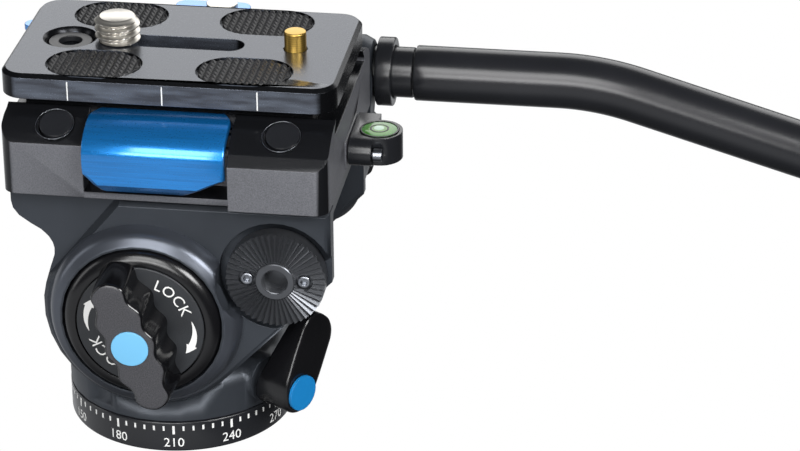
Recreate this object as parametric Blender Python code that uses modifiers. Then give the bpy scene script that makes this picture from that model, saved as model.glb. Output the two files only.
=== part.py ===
"""Compact fluid video head: a turned pan base with a degree dial, a two-cheek tilt
bracket round a damped drum, a clamp for a sliding camera plate, and a pan bar.

Metres, +Z up.  The origin is on the pan axis in the plane of the base's underside.
+X is the rear, where the pan bar leaves, and -Y is the side of the tilt lock.
"""
import math

import bmesh
import bpy
from mathutils import Matrix, Vector

# General
CLEARANCE = 0.0003            # running and seating gap between neighbours
OVERRUN = 0.002               # how far a cutter passes a face
MERGE = 0.00001               # weld distance
ARC_STEP = math.radians(12)   # largest step on a rounded corner
LARGE_SIDES = 32
MEDIUM_SIDES = 24
SMALL_SIDES = 12
SHARP_ANGLE = math.radians(32)
CUTTER_PHASE = math.radians(4)  # keeps a cutter's corners off its piece's corners

# pan base
DIAL_RADIUS = 0.0243
DIAL_HEIGHT = 0.0070
DIAL_CHAMFER = 0.0006
DIAL_WALL = 0.0051
BASE_HEIGHT = 0.0062
INSERT_RADIUS = 0.0070
TRIPOD_THREAD_RADIUS = 0.0049
AXLE_RADIUS = 0.0040
CARTRIDGE_RADIUS = 0.0166
CARTRIDGE_HEIGHT = 0.0062

# pan housing and its lock
HOUSING_RADIUS = 0.0243
HOUSING_TOP = 0.0172
SHOULDER_START = 0.0140
SHOULDER_FLAT_RADIUS = 0.0212
SHOULDER_SHARES = ((0.0, 0.0), (0.12, 0.45), (0.42, 0.80), (1.0, 1.0))
HOUSING_ROOF = 0.0036
SADDLE_CLEARANCE = 0.0006
RELIEF_HEIGHT = 0.0090
RELIEF_X = -0.0110
LOCK_ANGLE = math.radians(-32)
LOCK_HEIGHT = 0.0134
LOCK_BOSS_RADIUS = 0.0050
LOCK_BOSS_REACH = 0.0252
LOCK_HUB_RADIUS = 0.0048
LOCK_HUB_END = 0.0351
LOCK_HUB_CHAMFER = 0.0007
LOCK_SCREW_RADIUS = 0.0020
LOCK_SCREW_DEPTH = 0.0050
LOCK_ARM_INNER = 0.0285
LOCK_ARM_OUTER = 0.0345
LOCK_ARM_RISE = 0.0165
LOCK_ARM_SWEEP = 0.0107
LOCK_ARM_BEVEL = 0.0010
LOCK_ARM_SHARES = ((0.42, -0.12), (0.68, 0.17), (1.0, 0.62), (0.98, 0.74), (0.84, 0.86),
                   (0.55, 0.97), (0.34, 1.0), (0.22, 0.93), (-0.10, 0.55), (-0.41, 0.14))
CAP_RADIUS = 0.0039
CAP_HEIGHT = 0.0007

# tilt axis, drum and bracket
TILT_X = -0.00166
TILT_Z = 0.0334
DRUM_RADIUS = 0.0195
CHEEK_RADIUS = 0.02215
CHEEK_INNER = 0.0190
CHEEK_OUTER = 0.0244
CHEEK_ROUND = 0.0009
CHEEK_STEP = 0.0023
BRACKET_REAR = 0.0375
BRACKET_TOP = 0.0586
BRACKET_LEFT = -0.0300
SHOULDER_TIP_Z = 0.0565
SHOULDER_JOIN = math.radians(163)
LOWER_EDGE_ANGLE = math.radians(-43.9)
SHOULDER_CURVE_SHARES = ((0.0, 0.0), (0.05, 0.10), (0.22, 0.20), (0.55, 0.30), (0.86, 0.38),
                         (1.07, 0.47), (1.18, 0.555), (1.22, 0.63), (1.21, 0.72),
                         (1.15, 0.80), (1.07, 0.90))
STEP_LINE_X = -0.0075
STEP_LINE_ANGLE = math.radians(50.5)
WEB_HEIGHT = 0.0044
WEB_FRONT = -0.0155
BEZEL_ROOT_RADIUS = 0.0200
BEZEL_NECK_RADIUS = 0.0184
BEZEL_LIP_RADIUS = 0.0174
BEZEL_BORE_RADIUS = 0.0170
BEZEL_HEIGHT = 0.0046
POCKET_RADIUS = 0.0160
POCKET_DEPTH = 0.0066
TILT_AXLE_REACH = 0.0360
NUT_RADIUS = 0.0065
NUT_HEIGHT = 0.0024

# tilt lock knob
DIAL_RIM_SHARES = ((0.0, 0.94), (0.03, 0.93), (0.16, 0.62), (0.42, 0.22), (0.75, 0.03), (1.0, 0.0))
KNOB_RIM_WIDTH = 0.0029
KNOB_RIM_RISE = 0.0024
KNOB_FACE = 0.0305
KNOB_RECESS = 0.0010
LOCK_DISC_LIFT = 0.0001
GRIP_TOP = 0.0405
GRIP_LENGTH = 0.0300
GRIP_WIDTH = 0.0098
GRIP_END_SHARE = 0.72
GRIP_WAVE = 0.00045
GRIP_WAVES = 4
GRIP_LEAN = math.radians(18)
GRIP_BEVEL = 0.0005

# rosettes
ROSETTE_X = 0.0262
ROSETTE_Z = 0.0436
ROSETTE_RADIUS = 0.0104
ROSETTE_FACE = 0.0264
ROSETTE_THICK = 0.0037
ROSETTE_TEETH = 48
ROSETTE_TOOTH = 0.0006
ROSETTE_BOSS_RADIUS = 0.0041
ROSETTE_BOSS_RISE = 0.0005
ROSETTE_BORE_RADIUS = 0.0028
ROSETTE_SCREW_PITCH = 0.0060
ROSETTE_SCREW_HEAD = 0.0014
ROSETTE_SCREW_RADIUS = 0.0007
ROSETTE_SCREW_DEPTH = 0.0020
ROSETTE_POCKET_RADIUS = 0.0122

# platform
PLATFORM_FRONT = -0.0304
PLATFORM_REAR = 0.0380
PLATFORM_BOTTOM = 0.0605
PLATFORM_HALF = 0.0294
PLATFORM_CORNER = 0.0030
NECK_FRONT = -0.0270
NECK_REAR = 0.0340
NECK_HALF = 0.0218
BLOCK_TOP_START = 0.0193
BLOCK_TOP_Z = 0.0764
RIGHT_CREASE_Z = 0.0703
LEFT_FACE = 0.0268
LEFT_CREASE_Z = 0.0720
BLOCK_TOP_SHARES = ((0.0, 0.0), (0.33, 0.10), (0.60, 0.33), (0.82, 0.65), (1.0, 1.0))
LEVER_BAY_FRONT = -0.0131
LEVER_BAY_REAR = 0.0174
BAY_LEDGE_Z = 0.0619
BAY_LEDGE_FACE = 0.0270
BAY_WALL = 0.0206
BAY_SHELF_Z = 0.0734
BAY_SHELF_FACE = 0.0192
LIP_TOP_Z = 0.0770
PLUG_RADIUS = 0.0035
PLUG_DEPTH = 0.0020
PLUG_FRONT_X = -0.0190
PLUG_REAR_X = 0.0280
PLUG_Y = 0.0234
PLUG_LEAN = math.radians(27)
PLUG_Z = 0.0754

# camera plate
PLATE_LENGTH = 0.0700
PLATE_WIDTH = 0.0413
PLATE_X = 0.0032
PLATE_TOP = 0.0845
PLATE_EDGE = 0.0054
PLATE_CORNER = 0.0050
PLATE_CHAMFER = 0.0009
DOVETAIL_HALF = 0.0190
DOVETAIL_NECK = 0.0166
DOVETAIL_TOP_DROP = 0.0066
DOVETAIL_FOOT_DROP = 0.0096
DOVETAIL_DEPTH = 0.0101
CHANNEL_GAP = 0.0004
PAD_LENGTH = 0.0196
PAD_WIDTH = 0.0134
PAD_HEIGHT = 0.0009
PAD_PROUD = 0.0004
PAD_FRONT_X = -0.0131
PAD_REAR_X = 0.01835
PAD_Y = 0.0131
SPARE_X = -0.0212
SPARE_RIM = 0.0058
SPARE_FLOOR = 0.0046
SPARE_SINK = 0.0008
SPARE_BORE = 0.00245
SPARE_INSERT_DEPTH = 0.0016
SLOT_FRONT_X = -0.0110
SLOT_WIDTH = 0.0062
SLOT_REAR = 0.0159
SLOT_COUNTER_WIDTH = 0.0126
SLOT_ROOF = 0.0030
THREAD_RADIUS = 0.00476
THREAD_TIP_RADIUS = 0.0041
THREAD_STAND = 0.0055
THREAD_TOP = PLATE_TOP + THREAD_STAND
THREAD_TIP_HEIGHT = 0.0008
SHANK_RADIUS = 0.0027
SCREW_HEAD_RADIUS = 0.0055
SCREW_HEAD_HEIGHT = 0.0024
COIN_SLOT_WIDTH = 0.0014
COIN_SLOT_DEPTH = 0.0010
WASHER_HEIGHT = 0.0008
PIN_X = 0.0267
PIN_RADIUS = 0.0023
PIN_STAND = 0.0040
PIN_TOP = PLATE_TOP + PIN_STAND
PIN_CHAMFER = 0.0003
PIN_FLANGE_RADIUS = 0.0034
PIN_FLANGE_HEIGHT = 0.0016

# release lever
RELEASE_FRONT = -0.0126
RELEASE_REAR = 0.0169
RELEASE_HINGE_Y = 0.0232
RELEASE_HINGE_Z = 0.0710
RELEASE_BARREL = 0.0020
RELEASE_PIN = 0.0010
RELEASE_PIN_SEAT = 0.0018
RELEASE_TOP_Z = 0.0764
RELEASE_REACH = 0.0310
RELEASE_FOOT_Z = 0.0639
RELEASE_CREASE_Z = 0.0711
RELEASE_WALL = 0.0014
RELEASE_FOOT_CHAMFER = 0.0036
RELEASE_FOOT_RUN = 0.0074
RELEASE_TOP_SHARES = ((0.34, 1.0), (0.62, 0.93), (0.80, 0.72), (0.90, 0.36))

# plate lock lever
CATCH_X = 0.0046
CATCH_Y = 0.0328
CATCH_RADIUS = 0.0050
CATCH_TIP_X = -0.0342
CATCH_TIP_Y = 0.0197
CATCH_TIP_RADIUS = 0.0021
CATCH_HEAD_FRONT = 0.0106
CATCH_HEAD_REAR = 0.0060
CATCH_HEAD_HALF = 0.0043
CATCH_HEAD_CORNER = 0.0026
CATCH_BOTTOM = 0.07735
CATCH_THICK = 0.0014
CATCH_EAR_BOTTOM = 0.0690
CATCH_SCREW_RADIUS = 0.0035
CATCH_SCREW_HEAD = 0.0012
CATCH_SHANK_RADIUS = 0.0018
CATCH_SHANK_DEPTH = 0.0060

# level
LEVEL_BAR_HALF = 0.0080
LEVEL_BAR_REAR = 0.0434
LEVEL_BAR_END = 0.0076
LEVEL_TOP = 0.0671
LEVEL_HEIGHT = 0.0061
LEVEL_X = 0.0442
LEVEL_RING_RADIUS = 0.0049
VIAL_RADIUS = 0.0039
VIAL_DEPTH = 0.0040
VIAL_CROWN = 0.0003
LEVEL_SCREW_Y = -0.0061
LEVEL_SCREW_RADIUS = 0.0014
LEVEL_SCREW_HEAD = 0.0020

# pan bar
BAR_Y = 0.0378
BAR_Z = 0.0638
BARREL_FRONT = 0.0240
BARREL_REAR = 0.0380
BARREL_RADIUS = 0.0079
BARREL_ROUND = 0.0030
BAR_DISC_THICK = 0.0083
BAR_NECK_RADIUS = 0.0056
BAR_NECK_REAR = 0.0463
BAR_NECK_SEAT = 0.0080
BAR_COLLAR_RADIUS = 0.0076
BAR_COLLAR_LENGTH = 0.0036
BAR_RADIUS = 0.0061
BAR_STRAIGHT = 0.0314
BAR_BEND_RADIUS = 0.0600
BAR_BEND = math.radians(16.7)
BAR_BEND_STEPS = 7
BAR_TAIL = 0.1760
GRIP_BAR_LENGTH = 0.1180
GRIP_BAR_RADIUS = 0.0105
GRIP_BAR_SWELL = 0.0006
GRIP_END_LENGTH = 0.0070
BAR_KNOB_RADIUS = 0.0112
BAR_KNOB_HEIGHT = 0.0110
BAR_KNOB_LOBES = 7
BAR_KNOB_WAVE = 0.0009
BAR_STUD_RADIUS = 0.0024

PARTS = "fluid_video_head"
CUTTERS = "cutters"


def start_scene():
    for item in list(bpy.data.objects):
        bpy.data.objects.remove(item, do_unlink=True)
    for name in (PARTS, CUTTERS):
        group = bpy.data.collections.new(name)
        bpy.context.scene.collection.children.link(group)


def srgb(code):
    parts = [int(code[i:i + 2], 16) / 255 for i in (1, 3, 5)]
    linear = [c / 12.92 if c <= 0.04045 else ((c + 0.055) / 1.055) ** 2.4 for c in parts]
    return (*linear, 1.0)


def material(name, code, roughness, metallic):
    mat = bpy.data.materials.get(name)
    if mat:
        return mat
    mat = bpy.data.materials.new(name)
    mat.use_nodes = True
    shader = mat.node_tree.nodes["Principled BSDF"]
    shader.inputs["Base Color"].default_value = srgb(code)
    shader.inputs["Roughness"].default_value = roughness
    shader.inputs["Metallic"].default_value = metallic
    return mat


FINISHES = {
    "black anodised": ("#1d1f22", 0.35, 0.6),
    "satin bracket": ("#45494f", 0.45, 0.4),
    "blue anodised": ("#1e6fc4", 0.30, 0.7),
    "blue cap": ("#6cc4ef", 0.45, 0.0),
    "black plastic": ("#17181a", 0.40, 0.0),
    "printed plastic": ("#3a3c40", 0.60, 0.0),
    "black rubber": ("#151515", 0.80, 0.0),
    "nickel": ("#c9c6c0", 0.25, 1.0),
    "steel": ("#8d9096", 0.35, 1.0),
    "brass": ("#c99a3d", 0.25, 1.0),
    "level green": ("#a7d63a", 0.10, 0.0),
}


def linked(name, mesh, group):
    item = bpy.data.objects.new(name, mesh)
    bpy.data.collections[group].objects.link(item)
    if group == CUTTERS:
        item.hide_render = True
        item.display_type = "WIRE"
    return item


def finish(item, look):
    item.data.materials.clear()
    item.data.materials.append(material(look, *FINISHES[look]))
    return item


def smooth(item, angle=SHARP_ANGLE):
    item.data.shade_smooth()
    item.data.set_sharp_from_angle(angle=angle)
    return item


def turned(name, profile, group=PARTS, sides=MEDIUM_SIDES, closed=False):
    """A profile of (radius, height) points, outer side from top to bottom, screwed round Z."""
    shape = bmesh.new()
    start = CUTTER_PHASE if group == CUTTERS else 0
    points = [shape.verts.new((radius * math.cos(start), radius * math.sin(start), height))
              for radius, height in profile]
    for first, second in zip(points, points[1:]):
        shape.edges.new((first, second))
    if closed:
        shape.edges.new((points[-1], points[0]))
    mesh = bpy.data.meshes.new(name)
    shape.to_mesh(mesh)
    shape.free()
    item = linked(name, mesh, group)
    screw = item.modifiers.new("turn", "SCREW")
    screw.steps = sides
    screw.render_steps = sides
    screw.use_merge_vertices = True
    screw.merge_threshold = MERGE
    screw.use_smooth_shade = True
    return item


def disc(name, radius, low, high, group=PARTS, sides=MEDIUM_SIDES):
    return turned(name, ((0, high), (radius, high), (radius, low), (0, low)), group, sides)


def ring(name, outer, inner, low, high, group=PARTS, sides=MEDIUM_SIDES):
    profile = ((outer, high), (outer, low), (inner, low), (inner, high))
    return turned(name, profile, group, sides, closed=True)


def slab(name, outline, low, high, group=PARTS, bevel=0):
    """A flat outline given in the local XY plane, extruded from low to high along Z."""
    curve = bpy.data.curves.new(name, "CURVE")
    curve.dimensions = "2D"
    curve.fill_mode = "BOTH"
    curve.extrude = (high - low) / 2 - bevel
    curve.bevel_depth = bevel
    curve.bevel_resolution = 0
    curve.offset = -bevel
    spline = curve.splines.new("POLY")
    spline.points.add(len(outline) - 1)
    for point, (x, y) in zip(spline.points, outline):
        point.co = (x, y, 0, 1)
    spline.use_cyclic_u = True
    return from_curve(name, curve, group, (low + high) / 2)


def from_curve(name, curve, group, lift=0):
    drawn = bpy.data.objects.new(name + "_curve", curve)
    bpy.context.scene.collection.objects.link(drawn)
    graph = bpy.context.evaluated_depsgraph_get()
    mesh = bpy.data.meshes.new_from_object(drawn.evaluated_get(graph))
    bpy.data.objects.remove(drawn, do_unlink=True)
    shape = bmesh.new()
    shape.from_mesh(mesh)
    bmesh.ops.remove_doubles(shape, verts=shape.verts, dist=MERGE)
    bmesh.ops.translate(shape, verts=shape.verts, vec=(0, 0, lift))
    bmesh.ops.recalc_face_normals(shape, faces=shape.faces)
    shape.to_mesh(mesh)
    shape.free()
    mesh.name = name
    return linked(name, mesh, group)


def block(name, low, high, group=PARTS):
    shape = bmesh.new()
    bmesh.ops.create_cube(shape, size=1)
    size = Vector(high) - Vector(low)
    bmesh.ops.scale(shape, vec=size, verts=shape.verts)
    bmesh.ops.translate(shape, vec=(Vector(high) + Vector(low)) / 2, verts=shape.verts)
    mesh = bpy.data.meshes.new(name)
    shape.to_mesh(mesh)
    shape.free()
    return linked(name, mesh, group)


# quarter turns, kept exact so that flat faces stay flat
UPRIGHT = Matrix.Identity(3)
NEAR = Matrix(((1, 0, 0), (0, 0, -1), (0, 1, 0)))        # own Z points to -Y
FAR = Matrix(((1, 0, 0), (0, 0, 1), (0, -1, 0)))         # own Z points to +Y
ALONG_X = Matrix(((0, 0, 1), (0, 1, 0), (-1, 0, 0)))     # own Z points to +X
SECTION_YZ = Matrix(((0, 0, 1), (1, 0, 0), (0, 1, 0)))   # own X and Y become Y and Z


def place(item, location=(0, 0, 0), turn=UPRIGHT, lean=(0, 0, 0)):
    """Turn a piece's mesh by quarter turns, then set where it stands and how it leans."""
    item.data.transform(turn.to_4x4())
    item.location = location
    item.rotation_euler = lean
    screw = item.modifiers.get("turn")
    if screw:
        pointing = turn @ Vector((0, 0, 1))
        screw.axis = "XYZ"[max(range(3), key=lambda index: abs(pointing[index]))]
        screw.angle = math.copysign(2 * math.pi, sum(pointing))
    return item


def combine(item, tool, operation="DIFFERENCE"):
    step = item.modifiers.new(tool.name, "BOOLEAN")
    step.operation = operation
    step.solver = "EXACT"
    step.object = tool
    return item


def cut(item, *tools):
    for tool in tools:
        combine(item, tool)
    return item


def join(item, *tools):
    for tool in tools:
        combine(item, tool, "UNION")
    return item


def arc(centre, radius, start, end):
    count = max(1, math.ceil(abs(end - start) / ARC_STEP))
    angles = [start + (end - start) * i / count for i in range(count + 1)]
    return [(centre[0] + radius * math.cos(a), centre[1] + radius * math.sin(a)) for a in angles]


def rounded_box(low, high, radius):
    quarter = math.pi / 2
    left, right = low[0] + radius, high[0] - radius
    front, back = low[1] + radius, high[1] - radius
    corners = ((left, front, 2), (right, front, 3), (right, back, 0), (left, back, 1))
    points = []
    for x, y, turn in corners:
        points += arc((x, y), radius, turn * quarter, (turn + 1) * quarter)
    return points


def stadium(centre, length, width):
    reach = (length - width) / 2
    half = width / 2
    quarter = math.pi / 2
    right = arc((centre[0] + reach, centre[1]), half, -quarter, quarter)
    left = arc((centre[0] - reach, centre[1]), half, quarter, 3 * quarter)
    return right + left


def belt(first, first_radius, second, second_radius):
    """The outline of a belt drawn tight round two circles."""
    gap_x, gap_y = second[0] - first[0], second[1] - first[1]
    distance = math.hypot(gap_x, gap_y)
    heading = math.atan2(gap_y, gap_x)
    lean = math.acos((first_radius - second_radius) / distance)
    start = arc(second, second_radius, heading - lean, heading + lean)
    back = arc(first, first_radius, heading + lean, heading - lean + 2 * math.pi)
    return start + back


def shared(table, start, span):
    return [(start[0] + a * span[0], start[1] + b * span[1]) for a, b in table]


# Pan base
def base_pieces():
    inner = DIAL_RADIUS - DIAL_WALL
    foot = DIAL_RADIUS - DIAL_CHAMFER
    dial = turned("dial_ring", ((DIAL_RADIUS, DIAL_HEIGHT), (DIAL_RADIUS, DIAL_CHAMFER),
                                (foot, 0), (inner, 0), (inner, DIAL_HEIGHT)),
                  sides=LARGE_SIDES, closed=True)
    finish(dial, "black anodised")
    plate = ring("base_plate", inner - CLEARANCE, INSERT_RADIUS + CLEARANCE, 0, BASE_HEIGHT,
                 sides=LARGE_SIDES)
    finish(plate, "black anodised")
    insert = ring("tripod_insert", INSERT_RADIUS, TRIPOD_THREAD_RADIUS, CLEARANCE, BASE_HEIGHT)
    finish(insert, "steel")
    floor = BASE_HEIGHT + CLEARANCE
    cartridge = ring("pan_cartridge", CARTRIDGE_RADIUS, AXLE_RADIUS + CLEARANCE, floor,
                     floor + CARTRIDGE_HEIGHT)
    finish(cartridge, "steel")
    top = HOUSING_TOP - HOUSING_ROOF / 2
    axle = disc("pan_axle", AXLE_RADIUS, floor, top, sides=SMALL_SIDES)
    finish(axle, "steel")


# Pan housing
def housing_pocket_top():
    return BASE_HEIGHT + CARTRIDGE_HEIGHT + 2 * CLEARANCE


def pan_housing():
    low = DIAL_HEIGHT + CLEARANCE
    span = (SHOULDER_FLAT_RADIUS - HOUSING_RADIUS, HOUSING_TOP - SHOULDER_START)
    shoulder = shared(SHOULDER_SHARES, (HOUSING_RADIUS, SHOULDER_START), span)
    profile = [(0, HOUSING_TOP)] + shoulder[::-1] + [(HOUSING_RADIUS, low), (0, low)]
    body = turned("pan_housing", profile, sides=LARGE_SIDES)
    cut(body, *saddle_cuts())
    drum_half = CHEEK_INNER - 2 * CLEARANCE
    drum = disc("drum_core", DRUM_RADIUS, -drum_half, drum_half, CUTTERS, LARGE_SIDES)
    place(drum, (TILT_X, 0, TILT_Z), NEAR)
    join(body, drum, lock_boss())
    pocket = disc("cartridge_pocket", CARTRIDGE_RADIUS + CLEARANCE, low - OVERRUN,
                  housing_pocket_top(), CUTTERS, LARGE_SIDES)
    bore = disc("axle_pocket", AXLE_RADIUS + CLEARANCE, low - OVERRUN,
                HOUSING_TOP - HOUSING_ROOF / 2 + CLEARANCE, CUTTERS, SMALL_SIDES)
    cut(body, pocket, bore, *drum_cuts(), lock_bore())
    finish(body, "satin bracket")
    return body


def lock_boss():
    boss = disc("lock_boss", LOCK_BOSS_RADIUS, CARTRIDGE_RADIUS + OVERRUN, LOCK_BOSS_REACH,
                CUTTERS)
    return place(boss, (0, 0, LOCK_HEIGHT), ALONG_X, (0, 0, LOCK_ANGLE))


def lock_bore():
    bore = disc("lock_bore", LOCK_SCREW_RADIUS + CLEARANCE, CARTRIDGE_RADIUS - OVERRUN,
                LOCK_BOSS_REACH + OVERRUN, CUTTERS, SMALL_SIDES)
    return place(bore, (0, 0, LOCK_HEIGHT), ALONG_X, (0, 0, LOCK_ANGLE))


def saddle_cuts():
    """The cheeks and bezels swing past the housing, so it is scooped out beside the drum."""
    tools = []
    reach = HOUSING_RADIUS + OVERRUN
    for side, turn in (("near", NEAR), ("far", FAR)):
        scoop = disc("saddle_" + side, CHEEK_RADIUS + SADDLE_CLEARANCE,
                     CHEEK_INNER - CLEARANCE, reach + OVERRUN, CUTTERS, LARGE_SIDES)
        place(scoop, (TILT_X, 0, TILT_Z), turn)
        tools.append(scoop)
    inner = CHEEK_INNER - CLEARANCE
    for side, low_y, high_y in (("near", -reach, -inner), ("far", inner, reach)):
        tools.append(block("relief_" + side, (-reach, low_y, RELIEF_HEIGHT),
                           (RELIEF_X, high_y, TILT_Z), CUTTERS))
    return tools


def drum_cuts():
    """A pocket in each end of the drum for its cartridge or spring, and the axle's bore."""
    tools = []
    face = CHEEK_INNER
    for side, turn in (("near", NEAR), ("far", FAR)):
        pocket = disc("drum_pocket_" + side, POCKET_RADIUS, face - POCKET_DEPTH, face + OVERRUN,
                      CUTTERS, LARGE_SIDES)
        tools.append(place(pocket, (TILT_X, 0, TILT_Z), turn))
    bore = disc("drum_bore", AXLE_RADIUS + CLEARANCE, -face, face, CUTTERS, SMALL_SIDES)
    tools.append(place(bore, (TILT_X, 0, TILT_Z), NEAR))
    return tools


def drum_pieces():
    back = CHEEK_INNER - POCKET_DEPTH + CLEARANCE
    front = CHEEK_INNER - 2 * CLEARANCE
    for name, turn in (("tilt_cartridge_near", NEAR), ("tilt_cartridge_far", FAR)):
        piece = ring(name, POCKET_RADIUS - CLEARANCE, AXLE_RADIUS + CLEARANCE, back, front)
        finish(place(piece, (TILT_X, 0, TILT_Z), turn), "steel")
    far_end = CHEEK_OUTER + NUT_HEIGHT + 2 * CLEARANCE
    axle = disc("tilt_axle", AXLE_RADIUS, -far_end, TILT_AXLE_REACH, sides=SMALL_SIDES)
    finish(place(axle, (TILT_X, 0, TILT_Z), NEAR), "steel")


# Pan lock lever
def pan_lock_pieces():
    lean = (0, 0, LOCK_ANGLE)
    centre = (0, 0, LOCK_HEIGHT)
    hub_start = LOCK_BOSS_REACH + CLEARANCE
    edge = LOCK_HUB_RADIUS - LOCK_HUB_CHAMFER
    profile = ((0, LOCK_HUB_END), (edge, LOCK_HUB_END),
               (LOCK_HUB_RADIUS, LOCK_HUB_END - LOCK_HUB_CHAMFER),
               (LOCK_HUB_RADIUS, hub_start), (0, hub_start))
    lever = turned("pan_lock_lever", profile)
    place(lever, centre, ALONG_X, lean)
    outline = shared(LOCK_ARM_SHARES, (0, 0), (LOCK_ARM_SWEEP, LOCK_ARM_RISE))
    arm = slab("lock_arm", outline, LOCK_ARM_INNER, LOCK_ARM_OUTER, CUTTERS, LOCK_ARM_BEVEL)
    place(arm, centre, SECTION_YZ, lean)
    join(lever, arm)
    screw_end = hub_start + LOCK_SCREW_DEPTH
    bore = disc("hub_bore", LOCK_SCREW_RADIUS + CLEARANCE, hub_start - OVERRUN,
                screw_end + CLEARANCE, CUTTERS, SMALL_SIDES)
    seat = disc("cap_seat", CAP_RADIUS + CLEARANCE, LOCK_HUB_END - CAP_HEIGHT / 2,
                LOCK_HUB_END + OVERRUN, CUTTERS)
    for tool in (bore, seat):
        place(tool, centre, ALONG_X, lean)
    cut(lever, bore, seat)
    finish(lever, "black plastic")
    low = LOCK_HUB_END - CAP_HEIGHT / 2 + CLEARANCE
    cap = disc("pan_lock_cap", CAP_RADIUS, low, low + CAP_HEIGHT)
    finish(place(cap, centre, ALONG_X, lean), "blue cap")
    screw = disc("pan_lock_screw", LOCK_SCREW_RADIUS, CARTRIDGE_RADIUS + 2 * CLEARANCE,
                 screw_end, sides=SMALL_SIDES)
    finish(place(screw, centre, ALONG_X, lean), "steel")


# Tilt bracket
def cheek_outline():
    centre = (TILT_X, TILT_Z)
    join_point = (TILT_X + CHEEK_RADIUS * math.cos(SHOULDER_JOIN),
                  TILT_Z + CHEEK_RADIUS * math.sin(SHOULDER_JOIN))
    span = (join_point[0] - BRACKET_LEFT, join_point[1] - SHOULDER_TIP_Z)
    points = [(BRACKET_REAR, BRACKET_TOP), (BRACKET_LEFT, BRACKET_TOP)]
    points += shared(SHOULDER_CURVE_SHARES, (BRACKET_LEFT, SHOULDER_TIP_Z), span)
    points += arc(centre, CHEEK_RADIUS, SHOULDER_JOIN, LOWER_EDGE_ANGLE + 2 * math.pi)
    tangent = points[-1]
    slope = math.tan(LOWER_EDGE_ANGLE + math.pi / 2)
    points.append((BRACKET_REAR, tangent[1] + (BRACKET_REAR - tangent[0]) * slope))
    return points


def bezel(side, turn):
    """The raised rim round the lock knob, hollow inside, standing on the cheek."""
    root = CHEEK_OUTER - CHEEK_ROUND
    lip = CHEEK_OUTER + BEZEL_HEIGHT
    quarter = BEZEL_HEIGHT / 4
    profile = ((BEZEL_LIP_RADIUS, lip), (BEZEL_NECK_RADIUS, lip - 2 * quarter),
               (BEZEL_NECK_RADIUS, CHEEK_OUTER + quarter), (BEZEL_ROOT_RADIUS, CHEEK_OUTER),
               (BEZEL_ROOT_RADIUS, root), (BEZEL_BORE_RADIUS, root), (BEZEL_BORE_RADIUS, lip))
    piece = turned("bezel_" + side, profile, CUTTERS, LARGE_SIDES, closed=True)
    return place(piece, (TILT_X, 0, TILT_Z), turn)


def step_cutter(side, turn):
    """The front corner of each cheek is set back behind a slanting bevel."""
    reach = BRACKET_REAR - BRACKET_LEFT
    wall = CHEEK_STEP
    outline = ((0, CHEEK_OUTER - wall), (wall, CHEEK_OUTER + OVERRUN),
               (-reach, CHEEK_OUTER + OVERRUN), (-reach, CHEEK_OUTER - wall))
    if side == "near":
        outline = tuple((x, -y) for x, y in outline)
    tool = slab("step_" + side, outline, -reach, reach, CUTTERS)
    lean = (0, math.pi / 2 - STEP_LINE_ANGLE, 0)
    return place(tool, (STEP_LINE_X, 0, BRACKET_TOP), UPRIGHT, lean)


def tilt_bracket():
    body = slab("tilt_bracket", cheek_outline(), CHEEK_INNER, CHEEK_OUTER, bevel=CHEEK_ROUND)
    set_origin(place(body, (0, 0, 0), NEAR), (TILT_X, 0, TILT_Z))
    far = slab("far_cheek", cheek_outline(), -CHEEK_OUTER, -CHEEK_INNER, CUTTERS, CHEEK_ROUND)
    place(far, (0, 0, 0), NEAR)
    web = block("top_web", (WEB_FRONT, -CHEEK_INNER - CHEEK_ROUND, BRACKET_TOP - WEB_HEIGHT),
                (BRACKET_REAR - CHEEK_ROUND, CHEEK_INNER + CHEEK_ROUND, BRACKET_TOP - CHEEK_ROUND),
                CUTTERS)
    neck = block("neck_pad", (NECK_FRONT, -NECK_HALF, BRACKET_TOP - 2 * CHEEK_ROUND),
                 (NECK_REAR, NECK_HALF, PLATFORM_BOTTOM - CLEARANCE), CUTTERS)
    join(body, far, web, neck)
    cut(body, step_cutter("near", NEAR), step_cutter("far", FAR))
    join(body, bezel("near", NEAR), bezel("far", FAR))
    tools = []
    for side, turn in (("near", NEAR), ("far", FAR)):
        floor = CHEEK_OUTER - CHEEK_ROUND - CLEARANCE
        sink = disc("bezel_floor_" + side, BEZEL_BORE_RADIUS, floor, CHEEK_OUTER + OVERRUN,
                    CUTTERS, LARGE_SIDES)
        tools.append(place(sink, (TILT_X, 0, TILT_Z), turn))
        tools += rosette_seats(side, turn)
    bore = disc("cheek_bore", AXLE_RADIUS + CLEARANCE, -CHEEK_OUTER - OVERRUN,
                CHEEK_OUTER + OVERRUN, CUTTERS, SMALL_SIDES)
    tools.append(place(bore, (TILT_X, 0, TILT_Z), NEAR))
    cut(body, *tools)
    finish(body, "satin bracket")


def rosette_seats(side, turn):
    centre = (ROSETTE_X, 0, ROSETTE_Z)
    floor = ROSETTE_FACE - ROSETTE_THICK - CLEARANCE
    pocket = disc("rosette_pocket_" + side, ROSETTE_POCKET_RADIUS, floor,
                  CHEEK_OUTER + OVERRUN, CUTTERS, LARGE_SIDES)
    tools = [place(pocket, centre, turn)]
    for index, x in enumerate((-ROSETTE_SCREW_PITCH, ROSETTE_SCREW_PITCH)):
        name = "screw_seat_%s_%d" % (side, index + 1)
        hole = disc(name, ROSETTE_SCREW_RADIUS + CLEARANCE,
                    floor - ROSETTE_SCREW_DEPTH - CLEARANCE, floor + OVERRUN, CUTTERS, SMALL_SIDES)
        tools.append(place(hole, (ROSETTE_X + x, 0, ROSETTE_Z), turn))
    bore = disc("rosette_relief_" + side, ROSETTE_BORE_RADIUS, CHEEK_INNER - OVERRUN,
                floor + OVERRUN, CUTTERS, SMALL_SIDES)
    tools.append(place(bore, centre, turn))
    return tools


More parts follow.
